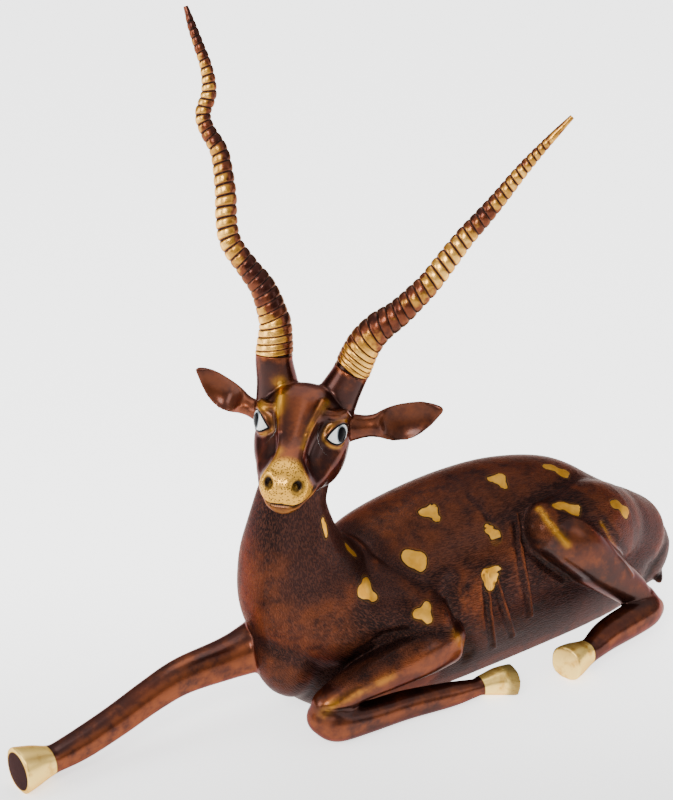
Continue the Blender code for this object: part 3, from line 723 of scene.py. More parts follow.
@dataclass
class Spots:
    """Gilded spots over both flanks, the back and the neck."""

    join: float = 2.2
    shown: tuple = (
        Spot((116, -5, 179), (-.05, -.53, .84), TREFOIL), Spot((214, 1, 183), (.09, -.34, .94), TREFOIL, -8),
        Spot((300, 0, 175), (.24, -.31, .92), SPLASH, -14), Spot((74, -32, 152), (-.05, -.82, .57), DIAMOND),
        Spot((174, -35, 151), (0, -.83, .56), PEAR), Spot((159, -51, 113), (0, -.96, .29), HEART, 70),
        Spot((60, -63, 109), (-.13, -.94, .3), TREFOIL, 12),
        Spot((4, -40, 145), (.35, -.88, .31), HEART, -12),
        Spot((3, -22, 181), (.59, -.66, .46), BEAN, -30),
        Spot((-40, -34, 221), (.32, -.94, .15), SLIVER, 6),
        Spot((261, -55, 162), (.1, -.42, .9), SPLASH, -8),
        Spot((335, -63, 143), (.33, -.73, .6), SPLASH, -12),
    )
    hidden: tuple = (
        Spot((130, 70, 168), (0, .7, .7), PEAR), Spot((92, 96, 128), (0, .95, .3), TREFOIL),
        Spot((190, 96, 140), (0, .9, .4), DIAMOND), Spot((168, 108, 92), (0, 1, .05), HEART, 60),
        Spot((244, 74, 160), (0, .7, .7), TREFOIL, 20), Spot((238, 106, 112), (0, 1, .1), PEAR, 15),
        Spot((330, 96, 112), (.2, .9, .4), TREFOIL), Spot((366, 70, 120), (.3, .7, .6), BEAN, 20),
        Spot((40, 76, 138), (-.1, .9, .3), HEART), Spot((-4, 66, 168), (.1, .95, .2), PEAR, 12),
        Spot((-60, 40, 226), (-.1, 1, .1), BEAN, 80), Spot((424, 4, 92), (.8, -.1, .6), BEAN, 90),
        Spot((296, 62, 150), (.1, .5, .86), DIAMOND),
    )

    def distance(self, points: np.ndarray) -> np.ndarray:
        """Give the distance past the nearest spot's edge, below 0 inside.

        Each disc gives distance less radius; discs join by a soft least, and a place off the
        spot's plane counts as farther.

        Args:
            points: Places on the skin, in shares.

        Returns:
            A distance for each place, at most 40.
        """
        best = np.full(len(points), 40.0)
        for spot in (*self.shown, *self.hidden):
            near = np.flatnonzero(np.linalg.norm(points - spot.place, axis=1) < 30.0)
            if len(near) == 0:
                continue
            out = np.array(spot.facing, float)
            out /= np.linalg.norm(out)
            back = np.array([1.0, 0.0, 0.0]) - out * out[0]
            back /= np.linalg.norm(back)
            up = np.cross(out, back)
            up *= np.sign(up[2])
            turn = math.radians(spot.turn)
            along = back * math.cos(turn) + up * math.sin(turn)
            across = up * math.cos(turn) - back * math.sin(turn)
            axes = np.array([along, across])
            own = points[near] - spot.place
            flat = own @ axes.T
            discs = [np.hypot(flat[:, 0] - u, flat[:, 1] - v) - radius for u, v, radius in spot.lobes]
            joined = -self.join * np.log(np.exp(-np.array(discs) / self.join).sum(axis=0))
            joined += np.maximum(np.abs(own @ out) - 12.0, 0.0)
            best[near] = np.minimum(best[near], joined)
        return best


# Hair


@dataclass
class Hair:
    """Lie of the chased hair: down the neck and back along the body."""

    guide: list = field(default_factory=lambda: [
        (-72, -22, 330), (-56, -8, 280), (-50, 0, 235), (-42, 8, 190), (-24, 16, 148), (8, 22, 112),
        (60, 26, 88), (125, 27, 78), (190, 28, 76), (250, 27, 74), (315, 23, 68), (375, 16, 60), (450, 4, 45),
    ])
    spread: float = 26.0

    def flow(self, points: np.ndarray) -> np.ndarray:
        """Give each place its run along the hair and two measures across it.

        The guide's stops are weighed by exp(-(d^2 - least^2) / spread^2); the run is the mean of
        their lengths plus the place's own reach along the mean direction, and the measures across
        are its reach to the side and upwards from the mean middle.

        Args:
            points: Places on the skin, in shares.

        Returns:
            Rows of run, side and rise, in shares.
        """
        line = smooth_rows(self.guide, 5)
        along = np.gradient(line, axis=0)
        steps = np.linalg.norm(along, axis=1)
        along /= steps[:, None]
        run = np.concatenate([[0.0], np.cumsum(np.linalg.norm(np.diff(line, axis=0), axis=1))])
        away = ((points[:, None, :] - line[None, :, :]) ** 2).sum(axis=-1)
        weight = np.exp(-(away - away.min(axis=1, keepdims=True)) / (self.spread ** 2))
        weight /= weight.sum(axis=1, keepdims=True)
        middle = weight @ line
        forward = weight @ along
        forward /= np.linalg.norm(forward, axis=1)[:, None]
        side = np.array([0.0, 1.0, 0.0]) - forward * forward[:, 1:2]
        side /= np.linalg.norm(side, axis=1)[:, None]
        rise = np.cross(forward, side)
        off = points - middle
        return np.column_stack([
            weight @ run + (off * forward).sum(axis=1),
            (off * side).sum(axis=1),
            (off * rise).sum(axis=1),
        ])


# Meshes


def make_mesh(name: str, points: np.ndarray, triangles: np.ndarray) -> bpy.types.Object:
    """Put points and triangles into a new mesh object."""
    mesh = bpy.data.meshes.new(name)
    mesh.vertices.add(len(points))
    mesh.vertices.foreach_set("co", np.asarray(points, np.float32).ravel())
    mesh.loops.add(len(triangles) * 3)
    mesh.loops.foreach_set("vertex_index", np.asarray(triangles, np.int32).ravel())
    mesh.polygons.add(len(triangles))
    mesh.polygons.foreach_set("loop_start", np.arange(len(triangles), dtype=np.int32) * 3)
    mesh.update(calc_edges=True)
    mesh.validate()
    piece = bpy.data.objects.new(name, mesh)
    bpy.context.scene.collection.objects.link(piece)
    return piece


def join_forms(forms: list[Form]) -> Form:
    """Join closed forms into one list of points and triangles, each turned outwards by its volume."""
    points, triangles, start = [], [], 0
    for form_points, form_triangles in forms:
        a, b, c = (form_points[form_triangles[:, i]] for i in range(3))
        if np.einsum("ij,ij->i", a, np.cross(b, c)).sum() < 0.0:
            form_triangles = form_triangles[:, ::-1]
        points.append(form_points)
        triangles.append(form_triangles + start)
        start += len(form_points)
    return np.vstack(points), np.vstack(triangles)


def read_points(piece: bpy.types.Object) -> np.ndarray:
    """Read a mesh object's points as rows."""
    flat = np.empty(len(piece.data.vertices) * 3, np.float32)
    piece.data.vertices.foreach_get("co", flat)
    return flat.reshape(-1, 3).astype(float)


def read_normals(piece: bpy.types.Object) -> np.ndarray:
    """Read a mesh object's outward directions at its points, as rows."""
    flat = np.empty(len(piece.data.vertices) * 3, np.float32)
    piece.data.vertices.foreach_get("normal", flat)
    return flat.reshape(-1, 3).astype(float)


def write_points(piece: bpy.types.Object, points: np.ndarray) -> None:
    """Write rows of points back into a mesh object."""
    piece.data.vertices.foreach_set("co", np.asarray(points, np.float32).ravel())
    piece.data.update()


def write_layer(piece: bpy.types.Object, name: str, values: np.ndarray) -> None:
    """Keep a number or a row of three for each point under a name that the finish reads."""
    wide = values.ndim == 2
    layer = piece.data.attributes.new(name, "FLOAT_VECTOR" if wide else "FLOAT", "POINT")
    layer.data.foreach_set("vector" if wide else "value", np.asarray(values, np.float32).ravel())


def bake_modifiers(piece: bpy.types.Object) -> None:
    """Replace a mesh by what its modifiers make of it."""
    graph = bpy.context.evaluated_depsgraph_get()
    baked = bpy.data.meshes.new_from_object(piece.evaluated_get(graph))
    piece.modifiers.clear()
    piece.data = baked


def relax(piece: bpy.types.Object, points: np.ndarray, strength: np.ndarray, rounds: int) -> np.ndarray:
    """Move points towards the mean of their neighbours: p + strength * (mean - p), over and over.

    Args:
        piece: Mesh object whose edges say which points are neighbours.
        points: Places or other rows, one for each point.
        strength: Share of the way moved in a round, for each point.
        rounds: Number of rounds.

    Returns:
        The moved rows.
    """
    edges = np.empty(len(piece.data.edges) * 2, np.int32)
    piece.data.edges.foreach_get("vertices", edges)
    one, two = edges[0::2], edges[1::2]
    count = len(points)
    degree = np.bincount(one, minlength=count) + np.bincount(two, minlength=count)
    moved = np.array(points, float)
    for _ in range(rounds):
        for axis in range(moved.shape[1]):
            column = moved[:, axis]
            total = (np.bincount(one, column[two], count) + np.bincount(two, column[one], count))
            column += strength * (total / degree - column)
    return moved


def thin_out(piece: bpy.types.Object, triangles: int, kept: np.ndarray | None = None) -> None:
    """Bring a mesh down to about the wanted number of triangles.

    Args:
        piece: Mesh object.
        triangles: Number wanted.
        kept: Whether each point is left alone, or None where all may go.
    """
    count = sum_of_triangles(piece)
    thin = piece.modifiers.new("thin", "DECIMATE")
    if kept is not None:
        group = piece.vertex_groups.new(name="thinned")
        group.add(np.flatnonzero(~kept).tolist(), 1.0, "REPLACE")
        thin.vertex_group = group.name
    thin.ratio = min(1.0, triangles / count)
    bake_modifiers(piece)


def sum_of_triangles(piece: bpy.types.Object) -> int:
    """Count a mesh's triangles: corners less two for each face."""
    return len(piece.data.loops) - 2 * len(piece.data.polygons)


# Finishes


class Wiring:
    """Small helper that adds shader nodes to one material and joins them."""

    def __init__(self, name: str) -> None:
        """Start a node material with an empty Principled shader."""
        self.material = bpy.data.materials.new(name)
        self.material.use_nodes = True
        self.tree = self.material.node_tree
        self.shader = self.tree.nodes["Principled BSDF"]

    def put(self, socket: bpy.types.NodeSocket, value: object) -> None:
        """Join a socket to another node's output, or set its plain value."""
        if isinstance(value, bpy.types.NodeSocket):
            self.tree.links.new(value, socket)
        elif isinstance(value, tuple) and socket.type == "RGBA":
            socket.default_value = (*value[:3], 1.0)
        else:
            socket.default_value = value

    def math(self, kind: str, *values: object, clamp: bool = False) -> bpy.types.NodeSocket:
        """Add one sum, product or other step of arithmetic."""
        node = self.tree.nodes.new("ShaderNodeMath")
        node.operation = kind
        node.use_clamp = clamp
        for socket, value in zip(node.inputs, values):
            self.put(socket, value)
        return node.outputs[0]

    def layer(self, name: str) -> bpy.types.NodeSocket:
        """Read a number kept on the mesh."""
        node = self.tree.nodes.new("ShaderNodeAttribute")
        node.attribute_name = name
        return node.outputs["Fac"]

    def layer_row(self, name: str) -> bpy.types.NodeSocket:
        """Read a row of three numbers kept on the mesh."""
        node = self.tree.nodes.new("ShaderNodeAttribute")
        node.attribute_name = name
        return node.outputs["Vector"]

    def place(self) -> bpy.types.NodeSocket:
        """Read the place on the object."""
        return self.tree.nodes.new("ShaderNodeTexCoord").outputs["Object"]

    def stretch(self, row: bpy.types.NodeSocket, scale: tuple) -> bpy.types.NodeSocket:
        """Multiply a row of three numbers by three more."""
        node = self.tree.nodes.new("ShaderNodeVectorMath")
        node.operation = "MULTIPLY"
        self.put(node.inputs[0], row)
        node.inputs[1].default_value = scale
        return node.outputs[0]

    def noise(self, row: bpy.types.NodeSocket, scale: float, detail: float = 3.0, rough: float = 0.55,
              bend: float = 0.0) -> bpy.types.NodeSocket:
        """Add cloudy noise between 0 and 1."""
        node = self.tree.nodes.new("ShaderNodeTexNoise")
        self.put(node.inputs["Vector"], row)
        node.inputs["Scale"].default_value = scale
        node.inputs["Detail"].default_value = detail
        node.inputs["Roughness"].default_value = rough
        node.inputs["Distortion"].default_value = bend
        return node.outputs["Fac"]

    def cells(self, row: bpy.types.NodeSocket, scale: float) -> bpy.types.NodeSocket:
        """Add the distance to the nearest of scattered points."""
        node = self.tree.nodes.new("ShaderNodeTexVoronoi")
        self.put(node.inputs["Vector"], row)
        node.inputs["Scale"].default_value = scale
        return node.outputs["Distance"]

    def step(self, value: object, start: float, end: float) -> bpy.types.NodeSocket:
        """Turn a value into a smooth step from 0 at `start` to 1 at `end`."""
        node = self.tree.nodes.new("ShaderNodeMapRange")
        node.interpolation_type = "SMOOTHSTEP"
        self.put(node.inputs["Value"], value)
        node.inputs["From Min"].default_value = start
        node.inputs["From Max"].default_value = end
        return node.outputs["Result"]

    def blend(self, share: object, low: object, high: object) -> bpy.types.NodeSocket:
        """Mix two colours by a share from 0 to 1."""
        node = self.tree.nodes.new("ShaderNodeMix")
        node.data_type = "RGBA"
        self.put(node.inputs["Factor"], share)
        self.put(node.inputs[6], low)
        self.put(node.inputs[7], high)
        return node.outputs[2]

    def lift(self, share: object, low: object, high: object) -> bpy.types.NodeSocket:
        """Mix two numbers by a share from 0 to 1."""
        node = self.tree.nodes.new("ShaderNodeMix")
        self.put(node.inputs["Factor"], share)
        self.put(node.inputs[2], low)
        self.put(node.inputs[3], high)
        return node.outputs[0]

    def relief(self, height: object, reach: float, strength: float = 1.0) -> None:
        """Let a height in shares of `reach` metres tilt the surface."""
        node = self.tree.nodes.new("ShaderNodeBump")
        node.inputs["Strength"].default_value = strength
        node.inputs["Distance"].default_value = reach
        self.put(node.inputs["Height"], height)
        self.tree.links.new(node.outputs["Normal"], self.shader.inputs["Normal"])


@dataclass(frozen=True)
class CastingFinish:
    """Brown lacquered brass with chased hair, gilded spots, hooves and muzzle, and painted eyes."""

    # Colours
    shadow: tuple = (0.004, 0.0018, 0.0015)
    umber: tuple = (0.012, 0.0062, 0.0060)
    maroon: tuple = (0.033, 0.0145, 0.0128)
    # painted highlight on the tips of the hair strokes
    stroke_highlight: tuple = (0.14, 0.050, 0.030)
    chestnut: tuple = (0.070, 0.0185, 0.0105)
    copper: tuple = (0.20, 0.052, 0.017)
    old_gold: tuple = (0.22, 0.080, 0.016)
    gold: tuple = (0.52, 0.235, 0.018)
    bright_gold: tuple = (0.70, 0.36, 0.05)
    pale_gold: tuple = (0.92, 0.62, 0.17)
    enamel: tuple = (0.80, 0.81, 0.79)
    iris: tuple = (0.20, 0.23, 0.25)
    black: tuple = (0.004, 0.004, 0.005)
    edge: tuple = (0.50, 0.34, 0.29)
    # Grain, in times per metre
    cloud_scale: float = 14.0
    fine_cloud_scale: float = 60.0
    stipple_scale: float = 560.0
    # Sizes, in shares
    stroke_size: tuple = (8.0, 1.1, 1.1)
    relief_height: float = 0.56
    pupil: tuple = (5.6, 7.2)
    sole_past_collar: tuple = (31.0, 31.8)
    sole_disc_radii: tuple = (19.5, 18.0)
    # Gloss of the smooth skin, the hair, the gilding and the painted eyes
    smooth_roughness: tuple = (0.25, 0.42)
    hair_roughness: float = 0.42
    gilt_roughness: float = 0.36
    paint_roughness: float = 0.2
    smooth_coat: float = 0.16
    thin_coat: float = 0.04
    coat_roughness: float = 0.16
    metal_shine: float = 0.4
    paint_shine: float = 0.03

    def build(self, share: float, eye: Eye, sole_place: np.ndarray) -> bpy.types.Material:
        """Wire the finish.

        Args:
            share: Metres in a share.
            eye: One of the eyes, whose sizes both have.
            sole_place: Middle of the stretched hoof's sole, in metres.

        Returns:
            The material, which reads the casting's layers.
        """
        w = Wiring("lacquered_brass")
        place = w.place()
        clouds = w.noise(place, self.cloud_scale, 4.0, 0.6)
        fine_clouds = w.noise(place, self.fine_cloud_scale, 3.0, 0.6)
        grain = tuple(1.0 / size for size in self.stroke_size)
        strokes = w.noise(w.stretch(w.layer_row("flow"), grain), 1.0, 1.0, 0.4, 0.3)
        stroke = w.step(strokes, 0.38, 0.6)
        ragged = w.math("MULTIPLY", w.math("SUBTRACT", strokes, 0.5), 0.9)
        haired = w.step(w.math("ADD", w.layer("haired"), ragged), 0.35, 0.6)
        colour = self.lacquer(w, clouds, fine_clouds, stroke, haired)
        gilt, colour = self.gilding(w, colour, clouds, fine_clouds)
        spot, colour = self.spots(w, colour, fine_clouds)
        hoof = w.step(w.layer("hoof"), -0.6, 0.6)
        hoof_colour = w.blend(w.step(fine_clouds, 0.22, 0.52), self.gold, self.pale_gold)
        colour = w.blend(hoof, colour, hoof_colour)
        line = w.math("MULTIPLY", self.band(w, w.layer("spot"), 0.35, 0.8), w.step(clouds, 0.3, 0.45))
        dots = w.step(w.cells(place, self.stipple_scale), 0.42, 0.24)
        stipple = w.math("MULTIPLY", w.layer("stipple"), dots)
        # Painted shade from the shade layer, joined with the dark outlines of the spots and the dots of the
        # stipple.
        dark = w.math("MAXIMUM", w.layer("shade"), w.math("MULTIPLY", line, 0.9))
        dark = w.math("MAXIMUM", dark, w.math("MULTIPLY", stipple, 0.8), clamp=True)
        colour = w.blend(dark, colour, self.shadow)
        colour = w.blend(self.sole(w, place, sole_place, share), colour, self.umber)
        paint, colour = self.painted_eye(w, colour, eye)
        w.put(w.shader.inputs["Base Color"], colour)
        gilded = w.math("MAXIMUM", w.math("MAXIMUM", spot, hoof), gilt)
        self.gloss(w, dark, paint, gilded, haired, fine_clouds)
        shown_hair = w.math("MULTIPLY", haired, w.math("SUBTRACT", 1.0, w.math("MAXIMUM", spot, dark)))
        height = w.math("MULTIPLY", stroke, shown_hair)
        height = w.math("SUBTRACT", height, w.math("MULTIPLY", stipple, 0.9))
        height = w.math("SUBTRACT", height, w.math("MULTIPLY", line, 1.1))
        height = w.math("ADD", height, w.math("MULTIPLY", fine_clouds, 0.5))
        w.relief(height, self.relief_height * share)
        return w.material

    def lacquer(self, w: Wiring, clouds: object, fine_clouds: object, stroke: object,
                haired: object) -> bpy.types.NodeSocket:
        """Mix the brown of the haired body and of the smooth skin, the painted highlight on the hair strokes,
        and the copper that is partly wear and partly painted highlight.

        Args:
            w: The material's wiring.
            clouds: Wide clouds.
            fine_clouds: Small clouds.
            stroke: 1 on the strokes of hair.
            haired: 1 where the skin is chased with hair.

        Returns:
            The colour.
        """
        body = w.blend(w.step(clouds, 0.36, 0.66), self.umber, self.maroon)
        # Painted highlight: the tips of the hair strokes are lightened towards copper brown.
        body = w.blend(w.math("MULTIPLY", w.step(stroke, 0.5, 1.0), 0.27), body, self.stroke_highlight)
        smooth = w.blend(w.step(clouds, 0.35, 0.68), self.maroon, self.chestnut)
        smooth = w.blend(w.math("MULTIPLY", w.step(fine_clouds, 0.45, 0.75), 0.4), smooth, self.copper)
        # Copper where the skin is worn, and where highlights and reflections are painted.
        rub_and_sheen = w.math("MULTIPLY", w.layer("rub_and_sheen"), w.step(fine_clouds, 0.25, 0.6))
        return w.blend(rub_and_sheen, w.blend(haired, smooth, body), self.copper)

    def gilding(self, w: Wiring, colour: object, clouds: object, fine_clouds: object) -> tuple:
        """Gild the muzzle, the brow and the edges, whose gold is partly a painted highlight.

        Args:
            w: The material's wiring.
            colour: Colour under the gilding.
            clouds: Wide clouds.
            fine_clouds: Small clouds.

        Returns:
            The share of gilding and the new colour.
        """
        gilt = w.math("MULTIPLY", w.layer("gilt"), w.step(clouds, 0.1, 0.5), clamp=True)
        gold = w.blend(w.step(fine_clouds, 0.35, 0.6), self.old_gold, self.gold)
        gold = w.blend(w.math("MULTIPLY", w.layer("stipple"), 0.75), gold, self.bright_gold)
        # The strongest gilding turns bright gold: on the muzzle its own colour, on the stifle's ridge a
        # painted highlight.
        gold = w.blend(w.step(gilt, 0.72, 0.95), gold, self.bright_gold)
        return gilt, w.blend(gilt, colour, gold)

    def spots(self, w: Wiring, colour: object, fine_clouds: object) -> tuple:
        """Gild the spots, whose edge wavers, and the faint gold around them.

        Args:
            w: The material's wiring.
            colour: Colour under the spots.
            fine_clouds: Small clouds.

        Returns:
            The share of spot and the new colour.
        """
        waver = w.math("MULTIPLY", w.math("SUBTRACT", fine_clouds, 0.5), 1.8)
        edge = w.math("ADD", w.layer("spot"), waver)
        colour = w.blend(w.math("MULTIPLY", w.step(edge, 3.0, 0.0), 0.16), colour, self.gold)
        spot = w.step(edge, 0.2, -0.5)
        gold = w.blend(w.step(fine_clouds, 0.35, 0.7), self.gold, self.bright_gold)
        return spot, w.blend(spot, colour, gold)

    def gloss(self, w: Wiring, dark: object, paint: object, gilded: object, haired: object,
              fine_clouds: object) -> None:
        """Set how metallic, rough and coated each place is.

        Args:
            w: The material's wiring.
            dark: 1 in the painted shade of the hollows and creases, on the spots' outlines and on the
                stipple.
            paint: 1 on the painted eyes.
            gilded: 1 on gold.
            haired: 1 where the skin is chased with hair.
            fine_clouds: Small clouds.
        """
        metal = w.math("MULTIPLY", w.lift(dark, 0.9, 0.5), w.math("SUBTRACT", 1.0, paint))
        w.put(w.shader.inputs["Metallic"], metal)
        rough = w.lift(haired, w.lift(fine_clouds, *self.smooth_roughness), self.hair_roughness)
        rough = w.lift(gilded, rough, self.gilt_roughness)
        w.put(w.shader.inputs["Roughness"], w.lift(paint, rough, self.paint_roughness))
        coat = w.lift(gilded, w.lift(haired, self.smooth_coat, self.thin_coat), self.thin_coat)
        w.put(w.shader.inputs["Coat Weight"], w.lift(paint, coat, 0.0))
        w.shader.inputs["Coat Roughness"].default_value = self.coat_roughness
        w.put(w.shader.inputs["Specular IOR Level"], w.lift(paint, self.metal_shine, self.paint_shine))
        w.shader.inputs["Specular Tint"].default_value = (*self.edge, 1.0)

    def sole(self, w: Wiring, place: object, middle: np.ndarray, share: float) -> bpy.types.NodeSocket:
        """Give 1 on the dark disc inside the gilded rim of the stretched hoof's sole.

        Args:
            w: The material's wiring.
            place: Place on the object, in metres.
            middle: Middle of the sole, in metres.
            share: Metres in a share.

        Returns:
            The disc, by the distance from its middle and from the hoof's collar.
        """
        split = w.tree.nodes.new("ShaderNodeSeparateXYZ")
        w.put(split.inputs[0], place)
        side = w.math("SUBTRACT", split.outputs["Y"], float(middle[1]))
        rise = w.math("SUBTRACT", split.outputs["Z"], float(middle[2]))
        outer, inner = (radius * share for radius in self.sole_disc_radii)
        disc = w.step(self.off(w, side, rise), outer, inner)
        return w.math("MULTIPLY", w.step(w.layer("hoof"), *self.sole_past_collar), disc)

    def band(self, w: Wiring, value: object, middle: float, width: float) -> bpy.types.NodeSocket:
        """Give 1 on a line at `middle` that fades to 0 at `width` away."""
        away = w.math("ABSOLUTE", w.math("SUBTRACT", value, middle))
        return w.step(away, width, width * 0.25)

    def painted_eye(self, w: Wiring, colour: object, eye: Eye) -> tuple:
        """Paint the white, the ring, the pupil and the dark line of the lids.

        Args:
            w: The material's wiring.
            colour: Colour of the head around the eye.
            eye: The eye whose sizes are used.

        Returns:
            The share of paint and the new colour.
        """
        split = w.tree.nodes.new("ShaderNodeSeparateXYZ")
        w.put(split.inputs[0], w.layer_row("eye"))
        along, up, near = split.outputs
        radius = eye.disc_radius()
        sunk = radius - eye.half_height
        above = self.off(w, along, w.math("ADD", up, sunk))
        below = self.off(w, along, w.math("SUBTRACT", up, sunk))
        edge = w.math("SUBTRACT", w.math("MAXIMUM", above, below), radius)
        inside = w.math("MULTIPLY", w.step(edge, 1.4, 1.0), w.step(near, 0.4, 0.6))
        white = w.step(edge, -0.3, -0.8)
        half_width, half_height = self.pupil
        pupil = self.off(w, w.math("DIVIDE", along, half_width), w.math("DIVIDE", up, half_height))
        inner = w.blend(w.step(pupil, 1.2, 1.14), self.enamel, self.iris)
        inner = w.blend(w.step(pupil, 1.04, 0.98), inner, self.black)
        painted = w.blend(white, self.black, inner)
        return inside, w.blend(inside, colour, painted)

    def off(self, w: Wiring, one: object, two: object) -> bpy.types.NodeSocket:
        """Give the length of a pair: the root of the sum of both squares."""
        return w.math("SQRT", w.math("ADD", w.math("MULTIPLY", one, one), w.math("MULTIPLY", two, two)))


@dataclass(frozen=True)
class HornFinish:
    """Gold rings over brown lacquer that stays in the grooves; the gold is partly wear and partly a painted
    highlight on the side turned to the light.
    """

    groove: tuple = (0.008, 0.003, 0.002)
    lacquer: tuple = (0.046, 0.012, 0.008)
    copper: tuple = (0.14, 0.036, 0.015)
    gold: tuple = (0.52, 0.24, 0.030)
    bright: tuple = (0.92, 0.50, 0.10)
    edge: tuple = (0.75, 0.52, 0.34)
    cloud_scale: float = 34.0         # times per metre
    fine_cloud_scale: float = 150.0
    roughness: tuple = (0.2, 0.42)
    shine: float = 0.92
    coat: float = 0.15
    relief_height: float = 0.5        # shares

    def build(self, share: float) -> bpy.types.Material:
        """Wire the finish; it reads the horn's crest layer and its layer of gold wear with painted highlight.
        """
        w = Wiring("ringed_brass")
        place = w.place()
        clouds = w.noise(place, self.cloud_scale, 4.0, 0.6)
        fine = w.noise(place, self.fine_cloud_scale, 3.0, 0.6)
        crest = w.layer("crest")
        uneven = w.math("ADD", w.math("MULTIPLY", w.math("SUBTRACT", clouds, 0.5), 1.1),
                        w.math("MULTIPLY", w.math("SUBTRACT", fine, 0.5), 0.8))
        rubbed_and_lit = w.math("ADD", w.layer("rubbed_and_lit"), uneven)
        colour = w.blend(w.step(rubbed_and_lit, -0.15, 0.3), self.lacquer, self.copper)
        gold = w.math("MULTIPLY", w.step(rubbed_and_lit, 0.34, 0.74), w.step(crest, 0.42, 0.8))
        colour = w.blend(gold, colour, self.gold)
        # Painted highlight: the most gilded crests turn pale gold.
        bright = w.math("MULTIPLY", w.step(rubbed_and_lit, 0.78, 1.2), w.step(crest, 0.7, 0.95))
        colour = w.blend(bright, colour, self.bright)
        groove = w.step(crest, 0.58, 0.26)
        colour = w.blend(w.math("MULTIPLY", groove, 0.92), colour, self.groove)
        w.put(w.shader.inputs["Base Color"], colour)
        w.shader.inputs["Metallic"].default_value = self.shine
        w.put(w.shader.inputs["Roughness"], w.lift(fine, *self.roughness))
        w.shader.inputs["Coat Weight"].default_value = self.coat
        w.shader.inputs["Coat Roughness"].default_value = self.coat
        w.shader.inputs["Specular Tint"].default_value = (*self.edge, 1.0)
        w.relief(w.math("ADD", fine, w.math("MULTIPLY", clouds, 0.8)), self.relief_height * share)
        return w.material


# Sub-assemblies


@dataclass
class Horn:
    """One wavy horn, ringed from its foot to its tip."""

    side: Side
    line: list                        # x, y, z and radius
    ring_stops: tuple                 # shares of the length, and the rings below each
    lean: tuple                       # how far a ring drops per radius, towards x, y and z
    gilded: tuple                     # the way that the gilded side faces; its gold is partly a painted highlight
    zones: tuple                      # shares of the length, and how well the gilding is kept there
    plain_tip: float                  # share of the length that has no rings
    swell: float = 0.11
    sides: int = 72
    steps_per_ring: int = 20

    def path(self, head: Head) -> np.ndarray:
        """Give the centre line and radii from the seat to the tip."""
        seat, radius = head.seats[self.side]
        return np.array([(*seat, radius), *self.line], float)

    def build(self, head: Head) -> tuple[bpy.types.Object, np.ndarray]:
        """Make the horn's mesh.

        With p the place within a ring, from 0 to 1, and crest = 1 - |2p-1|^n, the radius is
        R * (1 - 0.55 d + d * crest * (1 + 0.3 uneven)). The swell d grows from the foot to the tip,
        n falls from a flat band with a cut line at the foot to a round bead higher up, and p is
        shifted round the horn so that the rings lean.

        Args:
            head: The head that carries the horn.

        Returns:
            The mesh object in shares, and the direction in which the horn leaves its seat.
        """
        path = self.path(head)
        out = head.horn_start(self.side, path)
        rows = smooth_rows(path, 14)
        length = np.concatenate([[0.0], np.cumsum(np.linalg.norm(np.diff(rows[:, :3], axis=0), axis=1))])
        share = np.linspace(0.0, 1.0, int(self.ring_stops[1][-1] * self.steps_per_ring))
        even = np.column_stack([np.interp(share * length[-1], length, rows[:, i]) for i in range(4)])
        even[:, :3] += out * HORN_GAP * (1.0 - ramp(share, 0.0, 0.1))[:, None]
        along = np.gradient(even[:, :3], axis=0)
        along /= np.linalg.norm(along, axis=1)[:, None]
        wide = LEFT - along * (along @ LEFT)[:, None]
        wide /= np.linalg.norm(wide, axis=1)[:, None]
        tall = np.cross(wide, along)
        angle = np.linspace(0.0, 2.0 * math.pi, self.sides, endpoint=False)
        cosine, sine = np.cos(angle)[None, :, None], np.sin(angle)[None, :, None]
        round_it = wide[:, None, :] * cosine + tall[:, None, :] * sine
        rise = even[:, 3:4] * (round_it @ np.array(self.lean))
        placed = self.ring_place(share[:, None] + rise / length[-1])
        p = placed % 1.0
        bead = np.interp(share, [0.0, 0.1, 0.25, 1.0], [5.5, 5.0, 3.2, 2.6])[:, None]
        plain = ramp(share, 1.0 - self.plain_tip, 1.0 - 0.4 * self.plain_tip)[:, None]
        crest = np.maximum(1.0 - np.abs(2.0 * p - 1.0) ** bead, plain)
        ring = np.floor(placed)
        uneven = 0.35 * np.sin(ring * 12.9898 + 0.7) + 0.15 * np.sin(3.0 * angle + ring * 2.4)
        depth = self.swell * np.interp(share, [0.0, 0.12, 0.3, 1.0], [0.5, 0.7, 1.15, 1.5])[:, None]
        radius = even[:, 3:4] * (1.0 - depth * 0.55 + depth * crest * (1.0 + 0.3 * uneven))
        radius[0] = even[0, 3] * (1.0 - self.swell * 0.3)
        points, triangles = tube(even[:, None, :3] + round_it * radius[:, :, None])
        piece = make_mesh(self.side.name.lower() + "_ringed_horn", *join_forms([(points, triangles)]))
        # Painted highlight: the side turned towards the light and the camera takes more gold, on top of wear
        # along the horn.
        facing = round_it @ (np.array(self.gilded) / np.linalg.norm(self.gilded))
        facing = np.where(facing < -0.5, -1.3 - 1.6 * facing, facing)
        rubbed_and_lit = 0.9 * facing + 0.8 * (np.interp(share, *self.zones)[:, None] - 0.75) + 0.9 * uneven
        write_layer(piece, "crest", np.append(crest.ravel(), (0.0, 1.0)))
        write_layer(piece, "rubbed_and_lit", np.append(rubbed_and_lit.ravel(), (0.0, 1.0)))
        piece.data.shade_smooth()
        return piece, out

    def ring_place(self, share: np.ndarray) -> np.ndarray:
        """Give how many rings lie below a share of the length: close at the foot and at the tip."""
        stops = smooth_rows(np.column_stack(self.ring_stops), 8)
        return np.interp(share, stops[:, 0], stops[:, 1])


@dataclass(frozen=True)
class Mark:
    """A soft line on the skin where the finish changes."""

    line: tuple
    width: float
    strength: float

    def on(self, places: np.ndarray) -> np.ndarray:
        """Give the mark's strength at each place."""
        return self.strength * bell(line_distance(places, self.line), self.width)


def strongest(values: np.ndarray, marks: tuple, places: np.ndarray) -> np.ndarray:
    """Give the larger of each value and of every mark's strength at its place."""
    return np.maximum.reduce([values, *(mark.on(places) for mark in marks)])


